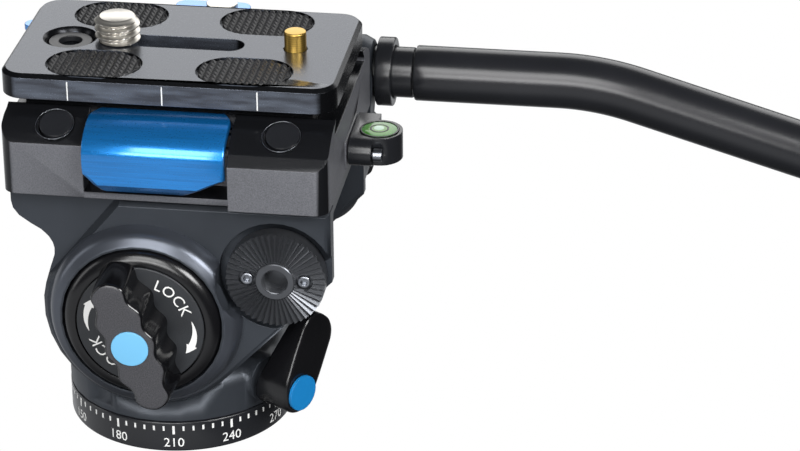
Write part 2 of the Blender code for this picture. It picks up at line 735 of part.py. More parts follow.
# Rosettes
def rosette(name, turn):
    """A disc whose face carries radial teeth that deepen towards the rim."""
    count = 2 * ROSETTE_TEETH
    back = ROSETTE_FACE - ROSETTE_THICK
    boss_top = ROSETTE_FACE + ROSETTE_BOSS_RISE
    inner_share = ROSETTE_BOSS_RADIUS / ROSETTE_RADIUS
    shape = bmesh.new()
    rows = []
    for index in range(count):
        angle = 2 * math.pi * (index + 0.5) / count
        drop = ROSETTE_TOOTH * (index % 2)
        section = ((ROSETTE_BORE_RADIUS, back), (ROSETTE_RADIUS, back),
                   (ROSETTE_RADIUS, ROSETTE_FACE - drop),
                   (ROSETTE_BOSS_RADIUS, ROSETTE_FACE - drop * inner_share),
                   (ROSETTE_BOSS_RADIUS, boss_top), (ROSETTE_BORE_RADIUS, boss_top))
        rows.append([shape.verts.new((r * math.cos(angle), r * math.sin(angle), z))
                     for r, z in section])
    for index in range(count):
        here, after = rows[index], rows[(index + 1) % count]
        for step in range(len(here)):
            follow = (step + 1) % len(here)
            shape.faces.new((here[step], after[step], after[follow], here[follow]))
    bmesh.ops.recalc_face_normals(shape, faces=shape.faces)
    mesh = bpy.data.meshes.new(name)
    shape.to_mesh(mesh)
    shape.free()
    item = linked(name, mesh, PARTS)
    place(item, (ROSETTE_X, 0, ROSETTE_Z), turn)
    side = name.split("_")[-1]
    for index, x in enumerate((-ROSETTE_SCREW_PITCH, ROSETTE_SCREW_PITCH)):
        hole = disc("rosette_hole_%s_%d" % (side, index + 1), ROSETTE_SCREW_HEAD + CLEARANCE,
                    back - OVERRUN, ROSETTE_FACE + OVERRUN, CUTTERS, SMALL_SIDES)
        cut(item, place(hole, (ROSETTE_X + x, 0, ROSETTE_Z), turn))
    return finish(item, "black anodised")


def rosette_screws(side, turn):
    head_top = ROSETTE_FACE - ROSETTE_TOOTH
    head_low = ROSETTE_FACE - ROSETTE_THICK
    tip = head_low - CLEARANCE - ROSETTE_SCREW_DEPTH
    profile = ((0, head_top), (ROSETTE_SCREW_HEAD, head_top), (ROSETTE_SCREW_HEAD, head_low),
               (ROSETTE_SCREW_RADIUS, head_low), (ROSETTE_SCREW_RADIUS, tip), (0, tip))
    for index, x in enumerate((-ROSETTE_SCREW_PITCH, ROSETTE_SCREW_PITCH)):
        screw = turned("rosette_screw_%s_%d" % (side, index + 1), profile, sides=SMALL_SIDES)
        finish(place(screw, (ROSETTE_X + x, 0, ROSETTE_Z), turn), "steel")


# Tilt lock knob
def knob_pieces():
    centre = (TILT_X, 0, TILT_Z)
    outer = BEZEL_BORE_RADIUS - CLEARANCE
    back = CHEEK_OUTER + CLEARANCE
    inner = outer - KNOB_RIM_WIDTH
    bore = AXLE_RADIUS + CLEARANCE
    rim = shared(DIAL_RIM_SHARES, (outer, KNOB_FACE), (-KNOB_RIM_WIDTH, -KNOB_RIM_RISE))
    floor = KNOB_FACE - KNOB_RECESS
    profile = [(bore, floor), (inner, floor)] + rim[::-1] + [(outer, back), (bore, back)]
    dial = turned("tilt_lock_dial", profile, sides=LARGE_SIDES, closed=True)
    finish(place(dial, centre, NEAR), "black plastic")
    disc_top = KNOB_FACE + LOCK_DISC_LIFT
    face = ring("lock_disc", inner - CLEARANCE, bore, floor + CLEARANCE, disc_top,
                sides=LARGE_SIDES)
    finish(place(face, centre, NEAR), "printed plastic")
    grip_bar(centre, disc_top + CLEARANCE)
    far_cover(outer, back)


def grip_outline():
    """A long bar whose width swells at the middle and ripples along both sides."""
    count = 6 * GRIP_WAVES
    half = GRIP_LENGTH / 2
    side = []
    for index in range(count + 1):
        share = index / count
        along = half * (2 * share - 1)
        swell = GRIP_END_SHARE + (1 - GRIP_END_SHARE) * math.cos(math.pi * (share - 0.5)) ** 2
        ripple = GRIP_WAVE * math.sin(2 * math.pi * GRIP_WAVES * share)
        side.append((GRIP_WIDTH / 2 * swell, along, ripple))
    right = [(width + ripple, along) for width, along, ripple in side]
    left = [(-width + ripple, along) for width, along, ripple in reversed(side)]
    return right + left


def grip_bar(centre, low):
    grip = slab("grip_bar", grip_outline(), low, GRIP_TOP, bevel=GRIP_BEVEL)
    place(grip, centre, NEAR, (0, -GRIP_LEAN, 0))
    bore = disc("grip_bore", AXLE_RADIUS + CLEARANCE, low - OVERRUN,
                TILT_AXLE_REACH + CLEARANCE, CUTTERS, SMALL_SIDES)
    seat = disc("knob_cap_seat", CAP_RADIUS + CLEARANCE, GRIP_TOP - CAP_HEIGHT / 2,
                GRIP_TOP + OVERRUN, CUTTERS)
    for tool in (bore, seat):
        place(tool, centre, NEAR)
    cut(grip, bore, seat)
    finish(grip, "black plastic")
    start = GRIP_TOP - CAP_HEIGHT / 2 + CLEARANCE
    cap = disc("knob_cap", CAP_RADIUS, start, start + CAP_HEIGHT)
    finish(place(cap, centre, NEAR), "blue cap")


def far_cover(outer, back):
    """The plain cap that closes the far bezel over the axle nut."""
    hollow = NUT_RADIUS + CLEARANCE
    depth = CHEEK_OUTER + NUT_HEIGHT + 3 * CLEARANCE
    rim = shared(DIAL_RIM_SHARES, (outer, KNOB_FACE), (-KNOB_RIM_WIDTH, -KNOB_RIM_RISE))
    profile = [(0, KNOB_FACE)] + rim[::-1] + [(outer, back), (hollow, back), (hollow, depth),
                                              (0, depth)]
    cover = turned("far_cover", profile, sides=LARGE_SIDES)
    finish(place(cover, (TILT_X, 0, TILT_Z), FAR), "black plastic")
    flats = [(NUT_RADIUS * math.cos(k * math.pi / 3), NUT_RADIUS * math.sin(k * math.pi / 3))
             for k in range(6)]
    top = CHEEK_OUTER + NUT_HEIGHT
    nut = slab("axle_nut", flats, CHEEK_OUTER, top)
    place(nut, (TILT_X, 0, TILT_Z), FAR)
    bore = disc("nut_bore", AXLE_RADIUS + CLEARANCE, CHEEK_OUTER - OVERRUN, top + OVERRUN,
                CUTTERS, SMALL_SIDES)
    cut(nut, place(bore, (TILT_X, 0, TILT_Z), FAR))
    finish(nut, "steel")


# Platform
def block_top(face, crease):
    return shared(BLOCK_TOP_SHARES, (BLOCK_TOP_START, BLOCK_TOP_Z),
                  (face - BLOCK_TOP_START, crease - BLOCK_TOP_Z))


def dovetail(gap):
    """The dovetail's half profile, widened by a gap, from its neck down to its foot."""
    neck_z = PLATE_TOP - DOVETAIL_TOP_DROP
    foot_z = PLATE_TOP - DOVETAIL_FOOT_DROP
    base_z = PLATE_TOP - DOVETAIL_DEPTH - gap
    return ((DOVETAIL_NECK + gap, neck_z), (DOVETAIL_HALF + gap, foot_z),
            (DOVETAIL_HALF + gap, base_z))


def lip_tip():
    neck, foot = dovetail(CHANNEL_GAP)[:2]
    share = (neck[1] - LIP_TOP_Z) / (neck[1] - foot[1])
    return (neck[0] + (foot[0] - neck[0]) * share, LIP_TOP_Z)


def platform_profile():
    half = [(PLATFORM_HALF, PLATFORM_BOTTOM)]
    half += block_top(PLATFORM_HALF, RIGHT_CREASE_Z)[::-1]
    half += [lip_tip()] + list(dovetail(CHANNEL_GAP)[1:])
    return half + [(-y, z) for y, z in reversed(half)]


def platform_plan():
    quarter = math.pi / 2
    r = PLATFORM_CORNER
    front, rear = PLATFORM_FRONT + r, PLATFORM_REAR - r
    points = arc((front, r - LEFT_FACE), r, 2 * quarter, 3 * quarter)
    points += [(LEVER_BAY_FRONT, -LEFT_FACE), (LEVER_BAY_FRONT, -PLATFORM_HALF)]
    points += arc((rear, r - PLATFORM_HALF), r, 3 * quarter, 4 * quarter)
    points += arc((rear, PLATFORM_HALF - r), r, 0, quarter)
    points += arc((front, PLATFORM_HALF - r), r, quarter, 2 * quarter)
    return points


def platform():
    body = slab("platform", platform_profile(), PLATFORM_FRONT, PLATFORM_REAR)
    place(body, (0, 0, 0), SECTION_YZ)
    plan = slab("platform_plan", platform_plan(), PLATFORM_BOTTOM - OVERRUN,
                PLATE_TOP, CUTTERS)
    combine(body, plan, "INTERSECT")
    join(body, *catch_ear(), level_foot())
    cut(body, left_face_cutter(), lever_bay_cutter(), *pin_and_plug_cutters())
    finish(body, "black anodised")


def left_face_cutter():
    """The front block is narrower, so its curved top falls to a higher crease."""
    curve = [(-y, z) for y, z in block_top(LEFT_FACE, LEFT_CREASE_Z)]
    far = -PLATFORM_HALF - OVERRUN
    outline = curve + [(-LEFT_FACE, PLATFORM_BOTTOM - OVERRUN), (far, PLATFORM_BOTTOM - OVERRUN),
                       (far, PLATE_TOP), (-BLOCK_TOP_START, PLATE_TOP)]
    tool = slab("left_face", outline, PLATFORM_FRONT - OVERRUN, LEVER_BAY_FRONT, CUTTERS)
    return place(tool, (0, 0, 0), SECTION_YZ)


def lever_bay_cutter():
    far = -PLATFORM_HALF - OVERRUN
    channel_z = dovetail(CHANNEL_GAP)[1][1]
    outline = ((far, PLATFORM_BOTTOM - OVERRUN), (-BAY_LEDGE_FACE, PLATFORM_BOTTOM - OVERRUN),
               (-BAY_LEDGE_FACE, BAY_LEDGE_Z), (-BAY_WALL, BAY_LEDGE_Z),
               (-BAY_WALL, BAY_SHELF_Z), (-BAY_SHELF_FACE, BAY_SHELF_Z),
               (-BAY_SHELF_FACE, channel_z), (-DOVETAIL_NECK, channel_z),
               (-DOVETAIL_NECK, PLATE_TOP), (far, PLATE_TOP))
    tool = slab("lever_bay", outline, LEVER_BAY_FRONT, LEVER_BAY_REAR, CUTTERS)
    return place(tool, (0, 0, 0), SECTION_YZ)


def pin_and_plug_cutters():
    seat = RELEASE_PIN_SEAT + CLEARANCE
    bore = disc("pin_bore", RELEASE_PIN + CLEARANCE, LEVER_BAY_FRONT - seat,
                LEVER_BAY_REAR + seat, CUTTERS, SMALL_SIDES)
    tools = [place(bore, (0, -RELEASE_HINGE_Y, RELEASE_HINGE_Z), ALONG_X)]
    for name, location, lean in plug_places():
        hole = disc(name + "_seat", PLUG_RADIUS + CLEARANCE, -PLUG_DEPTH - CLEARANCE,
                    PLUG_RADIUS, CUTTERS, MEDIUM_SIDES)
        tools.append(place(hole, location, UPRIGHT, lean))
    return tools


def plug_places():
    near = (PLUG_LEAN, 0, 0)
    far = (-PLUG_LEAN, 0, 0)
    return (("clamp_plug_1", (PLUG_FRONT_X, -PLUG_Y, PLUG_Z), near),
            ("clamp_plug_2", (PLUG_REAR_X, -PLUG_Y, PLUG_Z), near),
            ("clamp_plug_3", (PLUG_FRONT_X, PLUG_Y, PLUG_Z), far),
            ("clamp_plug_4", (PLUG_REAR_X, PLUG_Y, PLUG_Z), far))


def platform_trim():
    for name, location, lean in plug_places():
        plug = disc(name, PLUG_RADIUS, -PLUG_DEPTH, 0)
        finish(place(plug, location, UPRIGHT, lean), "black anodised")
    pin = disc("release_pin", RELEASE_PIN, LEVER_BAY_FRONT - RELEASE_PIN_SEAT,
               LEVER_BAY_REAR + RELEASE_PIN_SEAT, sides=SMALL_SIDES)
    finish(place(pin, (0, -RELEASE_HINGE_Y, RELEASE_HINGE_Z), ALONG_X), "steel")


def catch_ear():
    """The post on the far side that carries the plate lock lever."""
    top = CATCH_BOTTOM - CLEARANCE
    post = disc("catch_post", CATCH_RADIUS, CATCH_EAR_BOTTOM, top, CUTTERS)
    place(post, (CATCH_X, CATCH_Y, 0))
    arm = block("catch_arm", (CATCH_X - CATCH_RADIUS, PLATFORM_HALF - OVERRUN, CATCH_EAR_BOTTOM),
                (CATCH_X + CATCH_RADIUS, CATCH_Y, RIGHT_CREASE_Z + OVERRUN), CUTTERS)
    return post, arm


def level_foot():
    """The low pad on the rear face that the level is screwed to."""
    low = LEVEL_TOP - LEVEL_HEIGHT
    return block("level_foot", (PLATFORM_REAR - OVERRUN, -LEVEL_BAR_END, low),
                 (PLATFORM_REAR + CLEARANCE, LEVEL_BAR_HALF, LEVEL_TOP), CUTTERS)


# Release lever
def release_profile():
    """Nose over the plate's dovetail, curved back, flared finger lip, hinge barrel below."""
    tip = lip_tip()
    foot = dovetail(CHANNEL_GAP)[1]
    hinge = (RELEASE_HINGE_Y, RELEASE_HINGE_Z)
    start = (tip[0], RELEASE_CREASE_Z)
    span = (RELEASE_REACH - tip[0], RELEASE_TOP_Z - RELEASE_CREASE_Z)
    outer = [tip] + shared(RELEASE_TOP_SHARES, start, span)
    outer += [(RELEASE_REACH - CLEARANCE, RELEASE_CREASE_Z), (RELEASE_REACH, RELEASE_FOOT_Z)]
    inner = [(RELEASE_REACH - RELEASE_WALL, RELEASE_FOOT_Z),
             (RELEASE_REACH - 2 * RELEASE_WALL, RELEASE_CREASE_Z),
             (hinge[0] + 2 * RELEASE_BARREL, RELEASE_TOP_Z - 2 * RELEASE_WALL)]
    barrel = arc(hinge, RELEASE_BARREL, math.radians(40), math.radians(-220))
    points = outer + inner + barrel + [foot]
    return [(-y, z) for y, z in points]


def release_plan():
    """Seen from the front the finger lip has a long and a short chamfered corner."""
    low, high = RELEASE_FOOT_Z, PLATE_TOP
    chamfer = RELEASE_FOOT_CHAMFER
    return ((RELEASE_FRONT + chamfer, low), (RELEASE_REAR - RELEASE_FOOT_RUN, low),
            (RELEASE_REAR, low + chamfer), (RELEASE_REAR, high), (RELEASE_FRONT, high),
            (RELEASE_FRONT, low + chamfer))


def release_lever():
    lever = slab("release_lever", release_profile(), RELEASE_FRONT, RELEASE_REAR)
    set_origin(place(lever, (0, 0, 0), SECTION_YZ), (0, -RELEASE_HINGE_Y, RELEASE_HINGE_Z))
    plan = slab("release_plan", release_plan(), 0, RELEASE_REACH + OVERRUN, CUTTERS)
    place(plan, (0, 0, 0), NEAR)
    combine(lever, plan, "INTERSECT")
    bore = disc("release_bore", RELEASE_PIN + CLEARANCE, RELEASE_FRONT - OVERRUN,
                RELEASE_REAR + OVERRUN, CUTTERS, SMALL_SIDES)
    cut(lever, place(bore, (0, -RELEASE_HINGE_Y, RELEASE_HINGE_Z), ALONG_X))
    finish(lever, "blue anodised")


def set_origin(item, point):
    """Move an object's origin to a world point and keep its shape where it is."""
    bpy.context.view_layer.update()
    offset = item.matrix_world.inverted() @ Vector(point)
    for vertex in item.data.vertices:
        vertex.co -= offset
    item.location = point
    return item


# Camera plate
def camera_plate():
    low = (PLATE_X - PLATE_LENGTH / 2, -PLATE_WIDTH / 2)
    high = (PLATE_X + PLATE_LENGTH / 2, PLATE_WIDTH / 2)
    under = PLATE_TOP - PLATE_EDGE
    body = slab("camera_plate", rounded_box(low, high, PLATE_CORNER), under, PLATE_TOP)
    edges = body.modifiers.new("top edge", "BEVEL")
    edges.width = PLATE_CHAMFER
    edges.segments = 1
    edges.limit_method = "ANGLE"
    edges.angle_limit = math.radians(60)
    half = list(dovetail(0))
    half.insert(0, (DOVETAIL_NECK, under + PLATE_CHAMFER))
    profile = half + [(-y, z) for y, z in reversed(half)]
    rail = slab("dovetail_rail", profile, low[0] + PLATE_CORNER, high[0] - PLATE_CORNER, CUTTERS)
    join(body, place(rail, (0, 0, 0), SECTION_YZ))
    cut(body, *plate_cutters())
    finish(body, "black anodised")


def pad_places():
    return (("grip_pad_1", PAD_FRONT_X, -PAD_Y), ("grip_pad_2", PAD_REAR_X, -PAD_Y),
            ("grip_pad_3", PAD_FRONT_X, PAD_Y), ("grip_pad_4", PAD_REAR_X, PAD_Y))


def slot_centre():
    return (SLOT_FRONT_X - SLOT_WIDTH / 2 + SLOT_REAR) / 2, 0


def plate_cutters():
    floor = PLATE_TOP + PAD_PROUD - PAD_HEIGHT - CLEARANCE
    above = PLATE_TOP + OVERRUN
    below = PLATE_TOP - DOVETAIL_DEPTH - OVERRUN
    grow = 2 * CLEARANCE
    tools = []
    for name, x, y in pad_places():
        outline = stadium((x, y), PAD_LENGTH + grow, PAD_WIDTH + grow)
        tools.append(slab(name + "_seat", outline, floor, above, CUTTERS))
    slot_length = SLOT_REAR - SLOT_FRONT_X + SLOT_WIDTH / 2
    tools.append(slab("slot", stadium(slot_centre(), slot_length, SLOT_WIDTH), below, above,
                      CUTTERS))
    wide = slot_length + SLOT_COUNTER_WIDTH - SLOT_WIDTH
    tools.append(slab("slot_counter", stadium(slot_centre(), wide, SLOT_COUNTER_WIDTH), below,
                      PLATE_TOP - SLOT_ROOF, CUTTERS))
    tools.append(spare_seat(above))
    pocket_top = PLATE_TOP - SLOT_ROOF
    pin_hole = turned("pin_seat", ((0, above), (PIN_RADIUS + CLEARANCE, above),
                                   (PIN_RADIUS + CLEARANCE, pocket_top),
                                   (PIN_FLANGE_RADIUS + CLEARANCE, pocket_top),
                                   (PIN_FLANGE_RADIUS + CLEARANCE, below), (0, below)),
                      CUTTERS, SMALL_SIDES)
    tools.append(place(pin_hole, (PIN_X, 0, 0)))
    return tools


def spare_seat(above):
    floor = PLATE_TOP - SPARE_SINK
    depth = floor - SPARE_INSERT_DEPTH
    grow = SPARE_FLOOR + CLEARANCE
    rise = (SPARE_RIM - grow) * (above - PLATE_TOP) / SPARE_SINK
    tool = turned("spare_seat", ((0, above), (SPARE_RIM + rise, above), (grow, floor),
                                 (grow, depth), (0, depth)), CUTTERS, MEDIUM_SIDES)
    return place(tool, (SPARE_X, 0, 0))


def plate_trim():
    top = PLATE_TOP + PAD_PROUD
    for name, x, y in pad_places():
        pad = slab(name, stadium((x, y), PAD_LENGTH, PAD_WIDTH), top - PAD_HEIGHT, top)
        finish(pad, "black rubber")
    floor = PLATE_TOP - SPARE_SINK
    low = floor - SPARE_INSERT_DEPTH + CLEARANCE
    insert = ring("spare_insert", SPARE_FLOOR, SPARE_BORE, low, floor)
    finish(place(insert, (SPARE_X, 0, 0)), "black anodised")


def camera_screw():
    shoulder = PLATE_TOP + CLEARANCE
    tip = THREAD_TOP - THREAD_TIP_HEIGHT
    roof = PLATE_TOP - SLOT_ROOF
    washer_top = roof - CLEARANCE
    washer_low = washer_top - WASHER_HEIGHT
    head_top = washer_low - CLEARANCE
    head_low = head_top - SCREW_HEAD_HEIGHT
    shank = SHANK_RADIUS
    profile = ((0, THREAD_TOP), (THREAD_TIP_RADIUS, THREAD_TOP), (THREAD_RADIUS, tip),
               (THREAD_RADIUS, shoulder), (shank, shoulder), (shank, head_top),
               (SCREW_HEAD_RADIUS, head_top), (SCREW_HEAD_RADIUS, head_low), (0, head_low))
    screw = turned("camera_screw", profile)
    place(screw, (SLOT_FRONT_X, 0, 0))
    reach = SCREW_HEAD_RADIUS + OVERRUN
    half = COIN_SLOT_WIDTH / 2
    slot = block("coin_slot", (SLOT_FRONT_X - half, -reach, head_low - OVERRUN),
                 (SLOT_FRONT_X + half, reach, head_low + COIN_SLOT_DEPTH), CUTTERS)
    finish(cut(screw, slot), "nickel")
    washer = ring("screw_washer", SCREW_HEAD_RADIUS, shank + CLEARANCE, washer_low, washer_top)
    finish(place(washer, (SLOT_FRONT_X, 0, 0)), "steel")


def video_pin():
    edge = PIN_RADIUS - PIN_CHAMFER
    flange_top = PLATE_TOP - SLOT_ROOF - CLEARANCE
    flange_low = flange_top - PIN_FLANGE_HEIGHT
    profile = ((0, PIN_TOP), (edge, PIN_TOP), (PIN_RADIUS, PIN_TOP - PIN_CHAMFER),
               (PIN_RADIUS, flange_top), (PIN_FLANGE_RADIUS, flange_top),
               (PIN_FLANGE_RADIUS, flange_low), (0, flange_low))
    pin = turned("video_pin", profile, sides=SMALL_SIDES)
    finish(place(pin, (PIN_X, 0, 0)), "brass")


# Plate lock lever
def plate_lock_pieces():
    tip = (CATCH_TIP_X - CATCH_X, CATCH_TIP_Y - CATCH_Y)
    outline = belt((0, 0), CATCH_RADIUS, tip, CATCH_TIP_RADIUS)
    top = CATCH_BOTTOM + CATCH_THICK
    lever = slab("plate_lock_lever", outline, CATCH_BOTTOM, top)
    head = rounded_box((-CATCH_HEAD_FRONT, -CATCH_HEAD_HALF), (CATCH_HEAD_REAR, CATCH_HEAD_HALF),
                       CATCH_HEAD_CORNER)
    head = slab("catch_head", head, CATCH_BOTTOM, top, CUTTERS)
    join(place(lever, (CATCH_X, CATCH_Y, 0)), place(head, (CATCH_X, CATCH_Y, 0)))
    bore = disc("catch_bore", CATCH_SHANK_RADIUS + CLEARANCE, CATCH_BOTTOM - OVERRUN,
                top + OVERRUN, CUTTERS, SMALL_SIDES)
    cut(lever, place(bore, (CATCH_X, CATCH_Y, 0)))
    finish(lever, "blue anodised")
    head_low = top + CLEARANCE
    head_top = head_low + CATCH_SCREW_HEAD
    tip_z = CATCH_BOTTOM - CATCH_SHANK_DEPTH
    profile = ((0, head_top), (CATCH_SCREW_RADIUS, head_top), (CATCH_SCREW_RADIUS, head_low),
               (CATCH_SHANK_RADIUS, head_low), (CATCH_SHANK_RADIUS, tip_z), (0, tip_z))
    screw = turned("plate_lock_screw", profile, sides=SMALL_SIDES)
    finish(place(screw, (CATCH_X, CATCH_Y, 0)), "nickel")
    seat = disc("catch_seat", CATCH_SHANK_RADIUS + CLEARANCE, tip_z - CLEARANCE,
                top, CUTTERS, SMALL_SIDES)
    cut(bpy.data.objects["platform"], place(seat, (CATCH_X, CATCH_Y, 0)))


# Level
def level_pieces():
    low = LEVEL_TOP - LEVEL_HEIGHT
    front = PLATFORM_REAR + 2 * CLEARANCE
    half = LEVEL_HEIGHT / 2
    quarter = math.pi / 2
    middle = low + half
    side = math.asin((LEVEL_X - LEVEL_BAR_REAR) / LEVEL_RING_RADIUS)
    plan = arc((LEVEL_X, 0), LEVEL_RING_RADIUS, -quarter - side, quarter + side)
    plan += [(LEVEL_BAR_REAR, LEVEL_BAR_HALF), (front, LEVEL_BAR_HALF),
             (front, -LEVEL_BAR_END), (LEVEL_BAR_REAR, -LEVEL_BAR_END)]
    body = slab("level_housing", plan, low, LEVEL_TOP)
    section = arc((half - LEVEL_BAR_END, middle), half, quarter, 3 * quarter)
    section += [(LEVEL_RING_RADIUS * 2, low), (LEVEL_RING_RADIUS * 2, LEVEL_TOP)]
    ends = slab("level_section", section, front - OVERRUN, LEVEL_X + 2 * LEVEL_RING_RADIUS,
                CUTTERS)
    combine(body, place(ends, (0, 0, 0), SECTION_YZ), "INTERSECT")
    floor = LEVEL_TOP - VIAL_DEPTH
    pocket = disc("vial_pocket", VIAL_RADIUS + CLEARANCE, floor - CLEARANCE,
                  LEVEL_TOP + OVERRUN, CUTTERS)
    screw_hole = disc("level_screw_seat", LEVEL_SCREW_RADIUS / 2 + CLEARANCE, front - OVERRUN,
                      LEVEL_BAR_REAR + OVERRUN, CUTTERS, SMALL_SIDES)
    place(screw_hole, (0, LEVEL_SCREW_Y, middle), ALONG_X)
    notch = disc("level_notch", LEVEL_SCREW_RADIUS + CLEARANCE, LEVEL_BAR_REAR,
                 LEVEL_X + LEVEL_RING_RADIUS, CUTTERS)
    place(notch, (0, LEVEL_SCREW_Y, middle), ALONG_X)
    cut(body, place(pocket, (LEVEL_X, 0, 0)), screw_hole, notch)
    finish(body, "black anodised")
    crown = LEVEL_TOP + VIAL_CROWN
    profile = ((0, crown), (VIAL_RADIUS * 2 / 3, crown - VIAL_CROWN / 3),
               (VIAL_RADIUS, LEVEL_TOP), (VIAL_RADIUS, floor), (0, floor))
    vial = turned("level_vial", profile)
    finish(place(vial, (LEVEL_X, 0, 0)), "level green")
    head_low = LEVEL_BAR_REAR + CLEARANCE
    shank = LEVEL_SCREW_RADIUS / 2
    profile = ((0, head_low + LEVEL_SCREW_HEAD), (LEVEL_SCREW_RADIUS, head_low + LEVEL_SCREW_HEAD),
               (LEVEL_SCREW_RADIUS, head_low), (shank, head_low), (shank, front), (0, front))
    screw = turned("level_screw", profile, sides=SMALL_SIDES)
    finish(place(screw, (0, LEVEL_SCREW_Y, middle), ALONG_X), "steel")


# Pan bar
def bar_path():
    """Centre line from the neck: straight, one downward bend, then straight again."""
    x = BAR_NECK_REAR + CLEARANCE
    points = [(x, BAR_Z), (x + BAR_STRAIGHT, BAR_Z)]
    centre = (x + BAR_STRAIGHT, BAR_Z - BAR_BEND_RADIUS)
    for index in range(1, BAR_BEND_STEPS + 1):
        angle = BAR_BEND * index / BAR_BEND_STEPS
        points.append((centre[0] + BAR_BEND_RADIUS * math.sin(angle),
                       centre[1] + BAR_BEND_RADIUS * math.cos(angle)))
    last = points[-1]
    points.append((last[0] + BAR_TAIL * math.cos(BAR_BEND),
                   last[1] - BAR_TAIL * math.sin(BAR_BEND)))
    return points


def bar_tube():
    curve = bpy.data.curves.new("bar_tube", "CURVE")
    curve.dimensions = "3D"
    curve.bevel_depth = BAR_RADIUS
    curve.bevel_resolution = 6
    curve.use_fill_caps = True
    path = bar_path()
    spline = curve.splines.new("POLY")
    spline.points.add(len(path) - 1)
    for point, (x, z) in zip(spline.points, path):
        point.co = (x, BAR_Y, z, 1)
    tube = smooth(from_curve("bar_tube", curve, PARTS))
    finish(set_origin(tube, (ROSETTE_X, BAR_Y, ROSETTE_Z)), "black anodised")


def bar_grip():
    """The moulded hand grip pushed over the tube's tail, and its end cap."""
    tail = bar_path()[-1]
    lean = (0, BAR_BEND, 0)
    where = (tail[0], BAR_Y, tail[1])
    bore = BAR_RADIUS + CLEARANCE
    start = -GRIP_BAR_LENGTH
    thick, thin = GRIP_BAR_RADIUS, GRIP_BAR_RADIUS - GRIP_BAR_SWELL
    profile = [(thin, 0), (thick, start / 8), (thin, start / 2), (thick, start * 7 / 8),
               (bore + GRIP_BAR_SWELL * 4, start), (bore, start), (bore, 0)]
    grip = turned("bar_grip", profile, closed=True)
    finish(place(grip, where, ALONG_X, lean), "black rubber")
    low = CLEARANCE
    high = GRIP_END_LENGTH
    cap = turned("bar_end_cap", ((0, high), (thick * 2 / 3, high), (thick, high / 2), (thick, low),
                                 (0, low)))
    finish(place(cap, where, ALONG_X, lean), "black plastic")


def bar_bracket():
    """The far rosette's mate: a disc, an arm up to the barrel, and the barrel's bore."""
    centre = (ROSETTE_X, 0, ROSETTE_Z)
    seat = ROSETTE_FACE + ROSETTE_BOSS_RISE + CLEARANCE
    body = disc("bar_bracket", ROSETTE_RADIUS, seat, ROSETTE_FACE + BAR_DISC_THICK,
                sides=LARGE_SIDES)
    place(body, centre, FAR)
    middle = (BARREL_FRONT + BARREL_REAR) / 2
    slim = (BARREL_REAR - BARREL_FRONT) / 2
    outline = belt((ROSETTE_X, ROSETTE_Z), ROSETTE_RADIUS - CLEARANCE, (middle, BAR_Z), slim)
    high = BAR_Y
    low = BAR_Y - BARREL_RADIUS + CLEARANCE
    arm = slab("bar_arm", outline, -high, -low, CUTTERS)
    place(arm, (0, 0, 0), NEAR)
    soft = BARREL_ROUND
    profile = ((0, BARREL_REAR), (BARREL_RADIUS - soft, BARREL_REAR),
               (BARREL_RADIUS - soft / 3, BARREL_REAR - soft / 3),
               (BARREL_RADIUS, BARREL_REAR - soft), (BARREL_RADIUS, BARREL_FRONT + soft),
               (BARREL_RADIUS - soft / 3, BARREL_FRONT + soft / 3),
               (BARREL_RADIUS - soft, BARREL_FRONT), (0, BARREL_FRONT))
    barrel = turned("bar_barrel", profile, CUTTERS, LARGE_SIDES)
    place(barrel, (0, BAR_Y, BAR_Z), ALONG_X)
    join(body, arm, barrel)
    neck_bore = disc("neck_bore", BAR_NECK_RADIUS + CLEARANCE,
                     BARREL_REAR - BAR_NECK_SEAT - CLEARANCE, BARREL_REAR + OVERRUN, CUTTERS)
    place(neck_bore, (0, BAR_Y, BAR_Z), ALONG_X)
    stud_bore = disc("stud_bore", BAR_STUD_RADIUS + CLEARANCE, seat - OVERRUN, BAR_Y + OVERRUN,
                     CUTTERS, SMALL_SIDES)
    place(stud_bore, centre, FAR)
    cut(body, neck_bore, stud_bore)
    finish(body, "satin bracket")
    neck = disc("bar_neck", BAR_NECK_RADIUS, BARREL_REAR - BAR_NECK_SEAT, BAR_NECK_REAR)
    finish(place(neck, (0, BAR_Y, BAR_Z), ALONG_X), "black anodised")
    start = BARREL_REAR + CLEARANCE
    collar = ring("bar_collar", BAR_COLLAR_RADIUS, BAR_NECK_RADIUS + CLEARANCE, start,
                  start + BAR_COLLAR_LENGTH)
    finish(place(collar, (0, BAR_Y, BAR_Z), ALONG_X), "black anodised")


def bar_clamp():
    """The lobed hand knob that clamps the bar's bracket to the far rosette."""
    centre = (ROSETTE_X, 0, ROSETTE_Z)
    count = 6 * BAR_KNOB_LOBES
    outline = []
    for index in range(count):
        angle = 2 * math.pi * index / count
        radius = BAR_KNOB_RADIUS - BAR_KNOB_WAVE * (1 + math.cos(BAR_KNOB_LOBES * angle))
        outline.append((radius * math.cos(angle), radius * math.sin(angle)))
    low = BAR_Y + CLEARANCE
    knob = slab("bar_clamp_knob", outline, low, low + BAR_KNOB_HEIGHT, bevel=GRIP_BEVEL)
    place(knob, centre, FAR)
    reach = low + BAR_KNOB_HEIGHT / 2
    bore = disc("knob_bore", BAR_STUD_RADIUS + CLEARANCE, low - OVERRUN, reach + CLEARANCE,
                CUTTERS, SMALL_SIDES)
    cut(knob, place(bore, centre, FAR))
    finish(knob, "black plastic")
    stud = disc("bar_clamp_stud", BAR_STUD_RADIUS, CHEEK_INNER, reach, sides=SMALL_SIDES)
    finish(place(stud, centre, FAR), "steel")


def weld_seams():
    """Close the hairline seams that a chain of cuts leaves between equal corners."""
    for item in bpy.data.collections[PARTS].objects:
        if any(step.type == "BOOLEAN" for step in item.modifiers):
            weld = item.modifiers.new("weld", "WELD")
            weld.merge_threshold = MERGE


